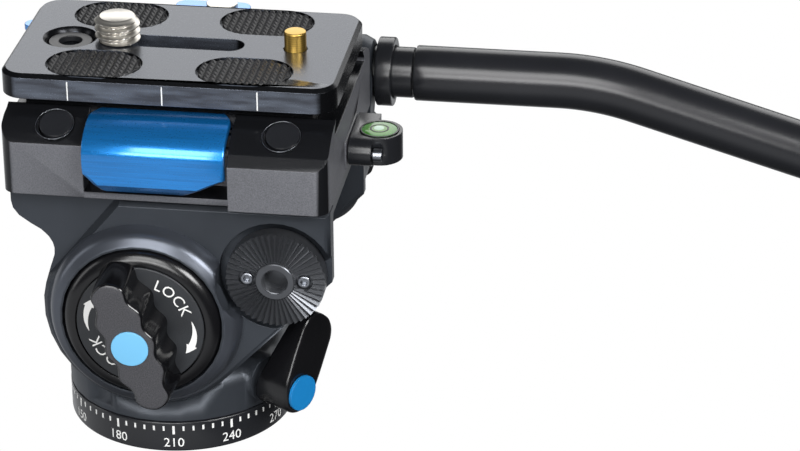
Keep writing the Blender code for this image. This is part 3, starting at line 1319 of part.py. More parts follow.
def main():
    start_scene()
    base_pieces()
    pan_housing()
    drum_pieces()
    pan_lock_pieces()
    tilt_bracket()
    for side, turn in (("near", NEAR), ("far", FAR)):
        rosette("rosette_" + side, turn)
        rosette_screws(side, turn)
    knob_pieces()
    platform()
    platform_trim()
    release_lever()
    camera_plate()
    plate_trim()
    camera_screw()
    video_pin()
    plate_lock_pieces()
    level_pieces()
    bar_bracket()
    bar_tube()
    bar_grip()
    bar_clamp()
    weld_seams()


main()
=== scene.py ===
"""Dresses the fluid video head: fine surfaces, markings, finishes and a studio stage."""
import math

import bmesh
import bpy
import numpy as np
from mathutils import Matrix, Vector


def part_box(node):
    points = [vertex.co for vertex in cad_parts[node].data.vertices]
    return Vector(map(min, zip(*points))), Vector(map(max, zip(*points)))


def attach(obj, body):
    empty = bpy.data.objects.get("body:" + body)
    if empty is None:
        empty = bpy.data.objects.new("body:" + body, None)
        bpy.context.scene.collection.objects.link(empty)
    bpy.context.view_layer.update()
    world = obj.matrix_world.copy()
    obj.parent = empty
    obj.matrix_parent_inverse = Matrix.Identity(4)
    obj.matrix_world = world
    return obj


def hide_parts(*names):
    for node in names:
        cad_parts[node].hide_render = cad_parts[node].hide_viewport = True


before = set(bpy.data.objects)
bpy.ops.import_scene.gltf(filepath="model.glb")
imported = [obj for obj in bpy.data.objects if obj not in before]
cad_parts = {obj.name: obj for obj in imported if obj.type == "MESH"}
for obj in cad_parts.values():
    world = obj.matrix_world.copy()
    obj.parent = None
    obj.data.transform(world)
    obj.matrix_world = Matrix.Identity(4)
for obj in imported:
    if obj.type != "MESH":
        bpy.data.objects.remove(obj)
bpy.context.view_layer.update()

bl_info = {
    "name": "Fluid video head",
    "version": (1, 0, 0),
    "blender": (4, 5, 0),
    "location": "View3D > Sidebar > Fluid head",
    "description": "Dresses a compact fluid video head and sets it on a studio stage",
    "category": "Add Mesh",
}

MM = 0.001
TAU = 2 * math.pi
# A round piece is drawn about its own z axis. These leave it so, or turn it to -Y, +Y or +X.
UPRIGHT = np.eye(3)
NEAR = np.array(((1, 0, 0), (0, 0, -1), (0, 1, 0)), float)
FAR = np.array(((1, 0, 0), (0, 0, 1), (0, -1, 0)), float)
ALONG = np.array(((0, 0, 1), (0, 1, 0), (-1, 0, 0)), float)
# Where the round pieces stand.
ORIGIN = np.zeros(3)
TILT_AXIS = np.array((-1.66, 0, 33.4)) * MM
ROSETTE_AXIS = np.array((26.2, 0, 43.6)) * MM
BAR_AXIS = np.array((0, 37.8, 63.8)) * MM
SCREW_AXIS = np.array((-11.0, 0, 0)) * MM
PIN_AXIS = np.array((26.7, 0, 0)) * MM
VIAL_AXIS = np.array((44.2, 0, 0)) * MM
# The scale's zero in degrees from +X, and a letter's size over the height of its capitals.
SCALE_ZERO = 67.11
CAPITALS = 1.4
# In millimetres: the height of the lock knob's disc along the tilt axis, the knob's hub and rim,
# and the radii of the level's vial and bubble.
DISC_FACE = 30.6
KNOB_HUB = 4.3
KNOB_ROOT = 24.7
KNOB_RADIUS = 16.7
VIAL_RADIUS = 3.9
BUBBLE_RADIUS = 1.6


def linear(code):
    """An sRGB hex value as the linear colour that a shader socket takes."""
    values = [int(code[i:i + 2], 16) / 255 for i in (1, 3, 5)]
    return tuple(v / 12.92 if v <= 0.04045 else ((v + 0.055) / 1.055) ** 2.4
                 for v in values) + (1.0,)


def tinted(tone, factor):
    """A colour made lighter or darker by a factor."""
    return tuple(min(v * factor, 1) for v in tone[:3]) + (1.0,)


def millimetres(name, value, text):
    """A length that the user can set, with its default in millimetres."""
    return bpy.props.FloatProperty(name=name, description=text, default=value * MM, min=0.0,
                                   soft_max=0.2, precision=5, subtype="DISTANCE", unit="LENGTH")


def colour(name, code, text):
    """A colour that the user can set, with its default as an sRGB hex value."""
    return bpy.props.FloatVectorProperty(name=name, description=text, subtype="COLOR", size=4,
                                         min=0.0, max=1.0, default=linear(code))


class HeadSizes(bpy.types.PropertyGroup):
    """Sizes of the pieces that the scene draws itself."""
    dial_radius: millimetres("Dial radius", 24.3, "Outer radius of the pan scale")
    dial_height: millimetres("Dial height", 7.0, "Height of the pan scale")
    tick_width: millimetres("Tick width", 0.42, "Width of a scale line")
    rosette_radius: millimetres("Rosette radius", 10.4, "Outer radius of the toothed discs")
    tooth_depth: millimetres("Tooth depth", 1.0, "Depth of a rosette tooth at the rim")
    knurl_pitch: millimetres("Knurl pitch", 1.55, "Distance between the grip pads' points")
    knurl_height: millimetres("Knurl height", 0.78, "Height of the grip pads' points")
    thread_radius: millimetres("Thread radius", 4.76, "Crest radius of the camera screw")
    thread_pitch: millimetres("Thread pitch", 1.5875, "Sixteen threads to the inch")
    bar_radius: millimetres("Bar radius", 6.1, "Outer radius of the pan bar")
    grip_radius: millimetres("Grip radius", 10.5, "Outer radius of the bar's hand grip")


class HeadColours(bpy.types.PropertyGroup):
    """Colours of the head's finishes."""
    black_anodised: colour("Black anodised", "#1a1b1e", "Platform, plate sides, pan bar")
    # Painted reflection: the plate's top is the same black anodising, painted this lighter grey.
    plate_top: colour("Plate top", "#44474d", "Satin top of the camera plate")
    bracket: colour("Bracket", "#363a40", "Fine blasted grey of bracket and housing")
    blasted: colour("Blasted faces", "#66676c", "Sandblasted front faces of the blocks")
    plastic: colour("Moulded plastic", "#0c0c0e", "Lock knob, pan lever, covers")
    rubber: colour("Rubber", "#18181a", "Grip pads and bar grip")
    blue_metal: colour("Blue anodised", "#167cc9", "Release lever and plate lock")
    blue_cap: colour("Light blue cap", "#66a8ce", "Cap of the lock knob")
    deep_cap: colour("Blue cap", "#0c72af", "Cap of the pan lever")
    marking: colour("Marking", "#d6d6d4", "Printed scale, words and arrows")
    brass: colour("Brass", "#d0ab58", "Locating pin")
    nickel: colour("Nickel", "#dedad2", "Camera screw")
    steel: colour("Steel", "#8d9096", "Fasteners and axles")
    level: colour("Level liquid", "#5c8a42", "Liquid of the level")


def sizes():
    """The sizes as the user has set them."""
    return bpy.context.scene.fluid_head_sizes


# Shader nodes
def feed(node, inputs):
    """Set a node's inputs: a socket is linked, a node is linked by its first output, and
    anything else is a plain value."""
    for key, value in inputs.items():
        if isinstance(value, bpy.types.Node):
            value = value.outputs[0]
        if isinstance(value, bpy.types.NodeSocket):
            node.id_data.links.new(value, node.inputs[key])
        else:
            node.inputs[key].default_value = value
    return node


def add(tree, kind, inputs=None, stops=(), **settings):
    """One shader node with its settings, the stops of a ramp and its inputs."""
    node = tree.nodes.new("ShaderNode" + kind)
    for key, value in settings.items():
        setattr(node, key, value)
    for index, (position, tone) in enumerate(stops):
        node.color_ramp.elements[index].position = position
        node.color_ramp.elements[index].color = tone
    return feed(node, inputs or {})


def emptied(owner):
    """The node tree of a new material or world, with nothing in it."""
    owner.use_nodes = True
    owner.node_tree.nodes.clear()
    return owner.node_tree


def new_material(name):
    """A material, its node tree, its shader and the piece's Object coordinates. The same node
    gives the piece's own normal, so a finish that follows it stays put when the piece turns."""
    material = bpy.data.materials.new(name)
    tree = emptied(material)
    shader = add(tree, "BsdfPrincipled")
    add(tree, "OutputMaterial", {"Surface": shader})
    return material, tree, shader, add(tree, "TexCoord").outputs["Object"]


def shade(name, base, roughness, metallic, grain_mm, bump, edge_mm=0.25, coat=0.0, tint=0.12):
    """A finish: base colour that drifts a little, roughness with grain, a fine bump and softly
    rounded edges. grain_mm is the size of one grain of the real surface."""
    material, tree, shader, where = new_material(name)
    fine = add(tree, "TexNoise", {"Vector": where, "Scale": 1 / (grain_mm * MM), "Detail": 2.0,
                                  "Roughness": 0.6})
    broad = add(tree, "TexNoise", {"Vector": where, "Scale": 1 / (14 * MM), "Detail": 3.0})
    drift = add(tree, "ValToRGB", {"Fac": broad},
                ((0.3, tinted(base, 1 - tint)), (0.7, tinted(base, 1 + tint))))
    rough = add(tree, "MapRange", {"Value": fine, "To Min": roughness - 0.04,
                                   "To Max": roughness + 0.04})
    rim = add(tree, "Bevel", {"Radius": edge_mm * MM}, samples=4)
    relief = add(tree, "Bump", {"Height": fine, "Strength": bump, "Distance": 0.1 * MM,
                                "Normal": rim})
    feed(shader, {"Base Color": drift, "Roughness": rough, "Metallic": metallic,
                  "Coat Weight": coat, "Coat Roughness": 0.08, "Normal": relief})
    return material


FINISHES = {}


def make_finishes():
    """Every finish of the head, named for the real material and how it was made."""
    c = bpy.context.scene.fluid_head_colours
    FINISHES.update({
        # Hard black anodising on machined aluminium: nearly black, satin, with a fine even grain.
        "anodised": shade("black anodised aluminium", c.black_anodised, 0.25, 0.0, 0.25, 0.025),
        # The same anodising on a lapped flat; its top and long sides are painted grey, as painted
        # reflection of the studio.
        "plate": plate_finish(c),
        # Cast and fine-blasted aluminium, anodised dark grey: matt with broad soft highlights.
        "bracket": shade("grey blasted aluminium", c.bracket, 0.42, 0.55, 0.22, 0.16),
        # The bezel is turned after blasting, so it is smoother than the cheek round it; its lighter
        # grey is painted highlight for its bright crescent.
        "bezel": shade("turned grey aluminium with painted highlight", linear("#50545c"), 0.30, 0.7, 0.22, 0.05),
        # The blocks: glossy black, coarse blasted grey on their fronts and right end.
        "block": faced_finish(
            "blasted and polished anodised aluminium", c.black_anodised,
            ((0.35, tinted(c.blasted, 0.72)), (0.65, tinted(c.blasted, 1.2))),
            (("Y", -0.93, -0.985), ("X", 0.93, 0.985)), 0.22, (0.20, 0.52), (0.05, 0.45), 0.1,
            metallic=0.5, rim_mm=0.3),
        # ABS moulding with a polished tool: black, smooth, with clear highlights.
        "plastic": shade("polished black ABS", c.plastic, 0.22, 0.0, 0.5, 0.03),
        # ABS moulding from a spark-eroded tool: a small even leather-like grain.
        "grained": shade("grained black ABS", c.plastic, 0.46, 0.0, 0.28, 0.35, tint=0.3),
        # The lock disc's face, moulded with a coarser sparkle grain.
        "disc": shade("sparkle grained ABS", linear("#26282b"), 0.40, 0.1, 0.22, 0.6, tint=0.3),
        # The bar across the knob: sparkle grain on its outer face, polished and darker flanks.
        "grip": faced_finish(
            "half polished ABS", c.plastic, ((0.35, linear("#232326")), (0.7, linear("#4a4a4e"))),
            (("Y", -0.80, -0.97),), 0.25, (0.16, 0.45), (0.02, 0.5), 0.08),
        # Cast toothed disc with a black finish, painted a mid grey as painted sheen, so that its
        # sharp ridges catch the lamps in fine lines.
        "teeth": shade("black cast zinc", linear("#54565a"), 0.30, 0.7, 0.3, 0.05, edge_mm=0.04),
        # Nitrile rubber: matt and slightly dusty on its points.
        "rubber": shade("nitrile rubber", c.rubber, 0.40, 0.0, 0.3, 0.05, tint=0.2),
        # Blue anodised extrusion: a metal under a clear dyed layer, drawn along its length.
        "blue": blue_finish(c),
        # Pad-printed plastic caps: even satin blue.
        "cap": shade("light blue ABS cap", c.blue_cap, 0.45, 0.0, 0.4, 0.02, tint=0.02),
        "deep cap": shade("blue ABS cap", c.deep_cap, 0.42, 0.0, 0.4, 0.02, tint=0.02),
        # Silk-screen ink: matt white, a little uneven.
        "marking": shade("white screen ink", c.marking, 0.6, 0.0, 0.3, 0.02, edge_mm=0.02,
                         tint=0.04),
        # Turned brass and bright nickel plate: polished, with fine rings left by the tool.
        "brass": turned_finish("turned brass", c.brass, 0.32, PIN_AXIS),
        "nickel": turned_finish("bright nickel plate", c.nickel, 0.34, SCREW_AXIS),
        # Turned or rolled steel, oiled.
        "steel": shade("oiled steel", c.steel, 0.3, 1.0, 0.3, 0.06),
        # Level liquid behind a clear acrylic dome, deeper green towards its rim.
        "level": level_finish(c),
        # The insert in the spare hole: black anodising painted a little darker than the plate's, as
        # painted shade of its recess, and rougher so that it mirrors less.
        "insert": shade("black anodised insert", linear("#16171a"), 0.42, 0.0, 0.3, 0.05),
        # The level's printed ring, and its bubble, which is clear and mirrors the lamps.
        "ring": shade("black printed ring", linear("#101010"), 0.3, 0.0, 0.3, 0.0),
        "bubble": shade("pale bubble", linear("#8fb79a"), 0.08, 0.0, 0.5, 0.0, coat=0.6),
    })


def plate_finish(c):
    """Fine lapped top in a lighter grey as painted reflection, chamfer and ends in the anodising's
    own black, and long sides a smeared grey that is painted reflection too: the smears are some 8
    mm long and 1.2 mm high, which is one over twice the Mapping's scale."""
    material, tree, shader, where = new_material("lapped black anodised aluminium")
    axis = add(tree, "SeparateXYZ", {"Vector": where.node.outputs["Normal"]})
    top = add(tree, "MapRange", {"Value": axis.outputs["Z"], "From Min": 0.9, "From Max": 0.98})
    side = add(tree, "Math", {0: axis.outputs["Y"]}, operation="ABSOLUTE")
    flank = add(tree, "MapRange", {"Value": side, "From Min": 0.9, "From Max": 0.97})
    grain = add(tree, "TexNoise", {"Vector": where, "Scale": 1 / (0.3 * MM), "Detail": 2.0})
    drawn = add(tree, "Mapping", {"Vector": where, "Scale": (60, 160, 400)})
    smeared_painted_reflection = add(tree, "TexNoise", {"Vector": drawn, "Scale": 2.0, "Detail": 4.0})
    # Painted reflection on the long sides: grey laid on in smears.
    grey = add(tree, "ValToRGB", {"Fac": smeared_painted_reflection},
               ((0.35, linear("#4b4e56")), (0.7, linear("#6d7480"))))
    black = add(tree, "MixRGB", {"Fac": flank, "Color1": c.black_anodised, "Color2": grey})
    # Painted reflection on the top: a lighter grey than the anodising's own black.
    tone = add(tree, "MixRGB", {"Fac": top, "Color1": black, "Color2": c.plate_top})
    rough = add(tree, "MapRange", {"Value": grain, "To Min": 0.22, "To Max": 0.30})
    rim = add(tree, "Bevel", {"Radius": 0.15 * MM}, samples=4)
    relief = add(tree, "Bump", {"Height": grain, "Strength": 0.05, "Distance": 0.1 * MM,
                                "Normal": rim})
    feed(shader, {"Base Color": tone, "Roughness": rough, "Metallic": 0.8, "Normal": relief})
    return material


def faced_finish(name, base, stops, faces, grain_mm, roughs, bumps, distance_mm, metallic=0.0,
                 rim_mm=None):
    """Smooth base colour, and a sandy grain on faces that look along the given axes. Each pair
    of roughs and bumps is for the smooth and for the sandy side. grain_mm is one grain."""
    material, tree, shader, where = new_material(name)
    axis = add(tree, "SeparateXYZ", {"Vector": where.node.outputs["Normal"]})
    sandy = None
    for letter, begin, full in faces:
        mask = add(tree, "MapRange", {"Value": axis.outputs[letter], "From Min": begin,
                                      "From Max": full})
        sandy = add(tree, "Math", {0: sandy, 1: mask}, operation="MAXIMUM") if sandy else mask
    grain = add(tree, "TexNoise", {"Vector": where, "Scale": 1 / (grain_mm * MM), "Detail": 3.0,
                                   "Roughness": 0.7})
    speck = add(tree, "ValToRGB", {"Fac": grain}, stops)
    tone = add(tree, "MixRGB", {"Fac": sandy, "Color1": base, "Color2": speck})
    rough, depth = [add(tree, "MapRange", {"Value": sandy, "To Min": low, "To Max": high})
                    for low, high in (roughs, bumps)]
    relief = add(tree, "Bump", {"Height": grain, "Strength": depth,
                                "Distance": distance_mm * MM})
    if rim_mm:
        feed(relief, {"Normal": add(tree, "Bevel", {"Radius": rim_mm * MM}, samples=4)})
    feed(shader, {"Base Color": tone, "Roughness": rough, "Metallic": metallic, "Normal": relief})
    return material


def blue_finish(c):
    """Blue dye over drawn metal: lines 11 mm long and 0.4 mm apart run along the lever, which is
    one over three times the Mapping's scale, under a grain of 0.3 mm."""
    material, tree, shader, where = new_material("blue anodised aluminium")
    drawn = add(tree, "Mapping", {"Vector": where, "Scale": (30, 900, 900)})
    lines = add(tree, "TexNoise", {"Vector": drawn, "Scale": 3.0, "Detail": 3.0})
    grain = add(tree, "TexNoise", {"Vector": where, "Scale": 1 / (0.3 * MM), "Detail": 2.0})
    tone = add(tree, "ValToRGB", {"Fac": lines},
               ((0.3, tinted(c.blue_metal, 0.85)), (0.7, tinted(c.blue_metal, 1.12))))
    rough = add(tree, "MapRange", {"Value": grain, "To Min": 0.24, "To Max": 0.34})
    relief = add(tree, "Bump", {"Height": lines, "Strength": 0.04, "Distance": 0.1 * MM})
    feed(shader, {"Base Color": tone, "Roughness": rough, "Metallic": 0.7, "Coat Weight": 1.0,
                  "Coat Roughness": 0.12, "Normal": relief})
    return material


def turned_finish(name, base, roughness, centre):
    """Bright metal with the rings of the lathe tool round the given centre, 0.5 mm apart: a
    wave repeats after 0.314 of its unit of 1.6 mm. That is as coarse as it needs to show."""
    material, tree, shader, where = new_material(name)
    at = add(tree, "Mapping", {"Vector": where, "Location": tuple(-centre)})
    cut = add(tree, "TexWave", {"Vector": at, "Scale": 1 / (1.6 * MM), "Distortion": 0.5,
                                "Detail": 1.0}, wave_type="RINGS", rings_direction="SPHERICAL")
    tone = add(tree, "ValToRGB", {"Fac": cut.outputs["Fac"]},
               ((0.0, tinted(base, 0.8)), (1.0, tinted(base, 1))))
    rough = add(tree, "MapRange", {"Value": cut.outputs["Fac"], "To Min": roughness,
                                   "To Max": roughness + 0.08})
    feed(shader, {"Base Color": tone, "Roughness": rough, "Metallic": 1.0})
    return material


def level_finish(c):
    """Bright yellow-green liquid that is greener and darker towards the rim of the vial."""
    material, tree, shader, where = new_material("level liquid under acrylic")
    at = add(tree, "Mapping", {"Vector": where, "Location": tuple(-VIAL_AXIS)})
    flat = add(tree, "VectorMath", {0: at, 1: (1, 1, 0)}, operation="MULTIPLY")
    reach = add(tree, "VectorMath", {0: flat}, operation="LENGTH")
    share = add(tree, "MapRange", {"Value": reach.outputs["Value"],
                                   "From Min": BUBBLE_RADIUS * MM, "From Max": VIAL_RADIUS * MM})
    tone = add(tree, "ValToRGB", {"Fac": share}, ((0.0, c.level), (1.0, linear("#2f6f22"))))
    feed(shader, {"Base Color": tone, "Roughness": 0.12})
    return material


# Surfaces
def put(name, data):
    """A new object for a mesh, a curve, a lamp or a camera, linked to the scene."""
    item = bpy.data.objects.new(name, data)
    bpy.context.scene.collection.objects.link(item)
    return item


def taken(item):
    """A piece's mesh on its own, its object removed."""
    mesh = item.data
    bpy.data.objects.remove(item)
    return mesh


def smooth(mesh, degrees):
    """Smooth shading, but for edges that turn by more than the given angle."""
    mesh.shade_smooth()
    mesh.set_sharp_from_angle(angle=math.radians(degrees))


def circle(count):
    """Angles of a full turn, as a row."""
    return np.linspace(0, TAU, count, endpoint=False)[None, :]


def quarter(count):
    """Angles from 0 to a quarter turn."""
    return np.linspace(0, math.pi / 2, count)


def triangle(turns):
    """A triangle wave: 1 at every whole turn and 0 half-way between."""
    return np.abs((turns % 1) * 2 - 1)


def polar(radius, angle, height):
    """Points round an axis: x = r cos a, y = r sin a, z = height."""
    return np.stack(np.broadcast_arrays(radius * np.cos(angle), radius * np.sin(angle), height),
                    axis=-1)


def surface(name, points, close_rows=False, close_columns=False, ridged=False):
    """A grid of points (rows, columns, 3) as a mesh of quads, wrapped where it closes. A ridged
    grid is cut into triangles whose long sides meet in every other point."""
    rows, columns = points.shape[:2]
    r, c = np.meshgrid(np.arange(rows if close_rows else rows - 1),
                       np.arange(columns if close_columns else columns - 1), indexing="ij")
    down, along = (r + 1) % rows, (c + 1) % columns
    quads = np.stack((r * columns + c, r * columns + along, down * columns + along,
                      down * columns + c), axis=-1).reshape(-1, 4)
    if ridged:
        even = ((r + c) % 2 == 0).reshape(-1)
        quads = np.concatenate((quads[even][:, (0, 1, 2)], quads[even][:, (0, 2, 3)],
                                quads[~even][:, (0, 1, 3)], quads[~even][:, (1, 2, 3)]))
    mesh = bpy.data.meshes.new(name)
    mesh.from_pydata(points.reshape(-1, 3), [], quads.tolist())
    return closed(name, mesh)


def closed(name, mesh):
    """Merge the seam and the poles, turn the faces outward and shade smooth but for edges."""
    shape = bmesh.new()
    shape.from_mesh(mesh)
    bmesh.ops.remove_doubles(shape, verts=shape.verts, dist=1e-6)
    bmesh.ops.recalc_face_normals(shape, faces=shape.faces)
    shape.to_mesh(mesh)
    shape.free()
    smooth(mesh, 32)
    return put(name, mesh)


def rings(name, radius, angle, height, centre=ORIGIN, turn=UPRIGHT):
    """A closed surface of rings round one axis, its radii and heights in millimetres."""
    points = polar(radius, angle, height) * MM
    return surface(name, points @ turn.T + centre, close_columns=True)


def lathe(name, profile, centre=ORIGIN, turn=UPRIGHT, sides=128):
    """A profile of (radius, height) in millimetres, carried round its own axis."""
    profile = np.asarray(profile, float)
    return rings(name, profile[:, :1], circle(sides), profile[:, 1:], centre, turn)


def rounded(corners, radius, steps=5):
    """A polyline whose inner corners are drawn as quadratic curves of about that radius."""
    corners = np.asarray(corners, float)
    out = [corners[:1]]
    for before, here, after in zip(corners[:-2], corners[1:-1], corners[2:]):
        back, forth = before - here, after - here
        near = min(radius, np.linalg.norm(back) / 2.1, np.linalg.norm(forth) / 2.1)
        start = here + back / np.linalg.norm(back) * near
        end = here + forth / np.linalg.norm(forth) * near
        t = np.linspace(0, 1, steps)[:, None]
        out.append((1 - t) ** 2 * start + 2 * t * (1 - t) * here + t ** 2 * end)
    out.append(corners[-1:])
    return np.concatenate(out)


def gathered(name, meshes):
    """Several meshes as one mesh."""
    shape = bmesh.new()
    for mesh in meshes:
        shape.from_mesh(mesh)
    out = bpy.data.meshes.new(name)
    shape.to_mesh(out)
    shape.free()
    return out


def sheet_between(name, top, bottom):
    """Two grids of the same shape, one over the other, joined round their border."""
    left = np.concatenate((bottom[:1, :1], bottom[:, :1], bottom[-1:, :1]), axis=0)
    right = np.concatenate((bottom[:1, -1:], bottom[:, -1:], bottom[-1:, -1:]), axis=0)
    upper, lower = [np.concatenate((left, np.concatenate((bottom[:1], side, bottom[-1:]), axis=0),
                                    right), axis=1) for side in (top, bottom)]
    sides = surface(name, upper, ridged=True), surface(name + "_under", lower[::-1])
    return closed(name, gathered(name, [taken(side) for side in sides]))


def own_copy(node, name, round_mm=None, segments=2, angle=34):
    """The CAD node's shape with its triangles merged into whole faces and its edges rounded."""
    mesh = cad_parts[node].data.copy()
    mesh.materials.clear()
    shape = bmesh.new()
    shape.from_mesh(mesh)
    bmesh.ops.remove_doubles(shape, verts=shape.verts, dist=2e-6)
    bmesh.ops.dissolve_limit(shape, angle_limit=math.radians(0.4), verts=shape.verts,
                             edges=shape.edges)
    shape.to_mesh(mesh)
    shape.free()
    smooth(mesh, angle)
    item = put(name, mesh)
    if round_mm:
        edge = item.modifiers.new("machined edge", "BEVEL")
        edge.width = round_mm * MM
        edge.segments = segments
        edge.limit_method = "ANGLE"
        edge.angle_limit = math.radians(angle)
        edge.harden_normals = True
        edge.miter_outer = "MITER_ARC"
    return item


def wear(item, finish):
    """Give a piece its finish; the first one asks for all of them to be made."""
    if not FINISHES:
        make_finishes()
    item.data.materials.clear()
    item.data.materials.append(FINISHES[finish])


def hang(item, body, finish, *nodes):
    """Give a finished piece its finish and its body, and hide the CAD nodes it stands for."""
    wear(item, finish)
    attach(item, body)
    if nodes:
        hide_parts(*nodes)


def recast(node, name, body, finish, round_mm=None, **edges):
    """Hang a CAD node's own shape, with rounded edges, in the node's place."""
    hang(own_copy(node, name, round_mm, **edges), body, finish, node)


def in_steel(*nodes):
    """Give CAD nodes that stay as they are their finish."""
    for node in nodes:
        wear(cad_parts[node], "steel")


def printed(name, meshes, body):
    """Hang several marks as one printed piece."""
    hang(put(name, gathered(name, meshes)), body, "marking")


def span(node):
    """A CAD node's lowest and highest point in millimetres."""
    return [corner.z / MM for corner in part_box(node)]


# Words and marks
def word(name, text, height, spacing=1.0):
    """A word as a thin solid in its own plane, centred, height in millimetres."""
    curve = bpy.data.curves.new(name, "FONT")
    curve.body = text
    curve.size = height * CAPITALS * MM
    curve.align_x = "CENTER"
    curve.align_y = "CENTER"
    curve.space_character = spacing
    curve.extrude = 0.02 * MM
    curve.resolution_u = 3
    drawn = put(name, curve)
    bpy.context.view_layer.update()
    shown = drawn.evaluated_get(bpy.context.evaluated_depsgraph_get())
    mesh = bpy.data.meshes.new_from_object(shown)
    bpy.data.objects.remove(drawn)
    return mesh


def coordinates(mesh):
    """A mesh's points as an array of rows x, y, z."""
    co = np.empty(len(mesh.vertices) * 3)
    mesh.vertices.foreach_get("co", co)
    return co.reshape(-1, 3)


def move_to(mesh, points):
    """Put a mesh's points where the array says."""
    mesh.vertices.foreach_set("co", np.ascontiguousarray(points, float).ravel())
    mesh.update()
    return mesh


def box_mesh(name, low, high):
    """A small bar between two corners, each corner a choice of the low or the high value."""
    pick = np.array([(0, 0, 0), (1, 0, 0), (1, 1, 0), (0, 1, 0), (0, 0, 1), (1, 0, 1), (1, 1, 1),
                     (0, 1, 1)])
    points = np.asarray(low) + pick * (np.asarray(high) - np.asarray(low))
    faces = ((3, 2, 1, 0), (4, 5, 6, 7), (0, 1, 5, 4), (1, 2, 6, 5), (2, 3, 7, 6), (3, 0, 4, 7))
    mesh = bpy.data.meshes.new(name)
    mesh.from_pydata(points.tolist(), [], faces)
    return mesh


def wrap_on_dial(mesh, degrees, radius):
    """Bend a flat mark round the dial: x becomes an angle, y the height, z the distance out."""
    co = coordinates(mesh)
    angle = math.radians(degrees + SCALE_ZERO) + co[:, 0] / radius
    return move_to(mesh, polar(radius + co[:, 2], angle, co[:, 1]))


def wrap_on_disc(mesh, degrees, radius, height):
    """Bend a flat mark round the lock knob: x runs clockwise along the circle, y outwards."""
    co = coordinates(mesh)
    angle = math.radians(degrees) - co[:, 0] / radius
    local = polar(radius + co[:, 1], angle, height + co[:, 2])
    return move_to(mesh, local @ NEAR.T + TILT_AXIS)


# Base
def dial():
    """The scale ring, its rims softly rounded."""
    s = sizes()
    outer, top = s.dial_radius / MM, s.dial_height / MM
    inner = outer - 5.1
    corners = (inner, top), (outer, top), (outer, 0), (inner, 0), (inner, top)
    hang(lathe("dial", rounded(corners, 0.42), sides=180), "base", "anodised", "dial_ring")


def dial_scale():
    """A line every 5 degrees, and a longer one with its number every 30."""
    s = sizes()
    marks = []
    for degrees in range(0, 360, 5):
        long = degrees % 30 == 0
        half = s.tick_width / 2 * (1.25 if long else 1)
        low, high = (4.2, 6.2) if long else (5.0, 6.1)
        line = box_mesh("tick", (-half, low * MM, -0.05 * MM), (half, high * MM, 0.015 * MM))
        marks.append(wrap_on_dial(line, degrees, s.dial_radius))
        if long:
            figure = word("figure", str(degrees), 2.15)
            raised = coordinates(figure) + np.array((0, 2.1, -0.005)) * MM
            marks.append(wrap_on_dial(move_to(figure, raised), degrees, s.dial_radius))
    printed("dial_scale", marks, "base")


def tripod_thread():
    """The insert's bore with sixteen threads to the inch: its radius falls from 4.9 by a depth
    times a triangle wave of height over pitch less the angle over a turn."""
    low, high = span("tripod_insert")
    pitch, depth, outer = 1.5875, 0.45, 7.0
    height = np.linspace(low, high, 46)[:, None]
    angle = circle(64)
    within = (height > low + 0.01) & (height < high - 0.01)
    bore = 4.9 - depth * triangle(height / pitch - angle / TAU) * within
    wall = np.full_like(angle, outer)
    radii = np.concatenate((wall, bore, wall, wall))
    heights = np.concatenate((height[:1], height, height[-1:], height[:1]))
    hang(rings("thread_insert", radii, angle, heights), "base", "steel", "tripod_insert")


# Pan lock lever
def pan_lever():
    """One moulding: the hub's circle runs on into an arm that leans back. The grid's rows go from
    the hub's root to its outer face, its inner side slopes so that the arm thins to the tip."""
    low = math.radians(205) + np.linspace(0, math.radians(125), 26)
    hub = 4.9 * np.stack((np.cos(low), np.sin(low)), axis=-1)
    arm = rounded(((4.24, -2.45), (7.3, 2.8), (10.9, 10.0), (10.2, 13.3), (6.6, 16.6),
                   (2.6, 15.9), (-1.2, 9.1), (-4.4, 2.3), (-4.44, -2.07)), 2.6, 9)
    outline = np.concatenate((hub, arm[1:-1]))
    bend, soft, thick = quarter(6), 0.95, 9.3
    inset = np.concatenate(((1.0,), soft * (1 - np.sin(bend)) / 5, (0.0,),
                            soft * (1 - np.cos(bend)) / 5, (0.45, 1.0)))
    share = np.concatenate(((0.0,), soft * (1 - np.cos(bend)) / thick, (0.5,),
                            1 - soft * (1 - np.sin(bend)) / thick, (1.0, 1.0)))
    inner, outer = 25.55 + 5.4 * np.clip(outline[None, :, 1] / 16.5, 0, 1), 34.95
    across = inner + (outer - inner) * share[:, None]
    flat = outline[None] * (1 - inset)[:, None, None]
    lean, hub_height = math.radians(-32), 13.4
    out = np.array((math.cos(lean), math.sin(lean), 0))
    back = np.array((-math.sin(lean), math.cos(lean), 0))
    points = (across[..., None] * out + flat[..., :1] * back
              + (flat[..., 1:] + hub_height) * np.array((0, 0, 1.0))) * MM
    return surface("pan_lever", points, close_columns=True)


# Tilt lock knob
def knob_rim():
    """The convex black ring round the knob's disc, from its foot to its crown: a quarter of an
    ellipse 2.9 mm wide and 2.4 mm high."""
    t = quarter(14)
    return np.stack((KNOB_RADIUS - 2.9 * (1 - np.cos(t)), 28.1 + 2.4 * np.sin(t)), axis=-1)


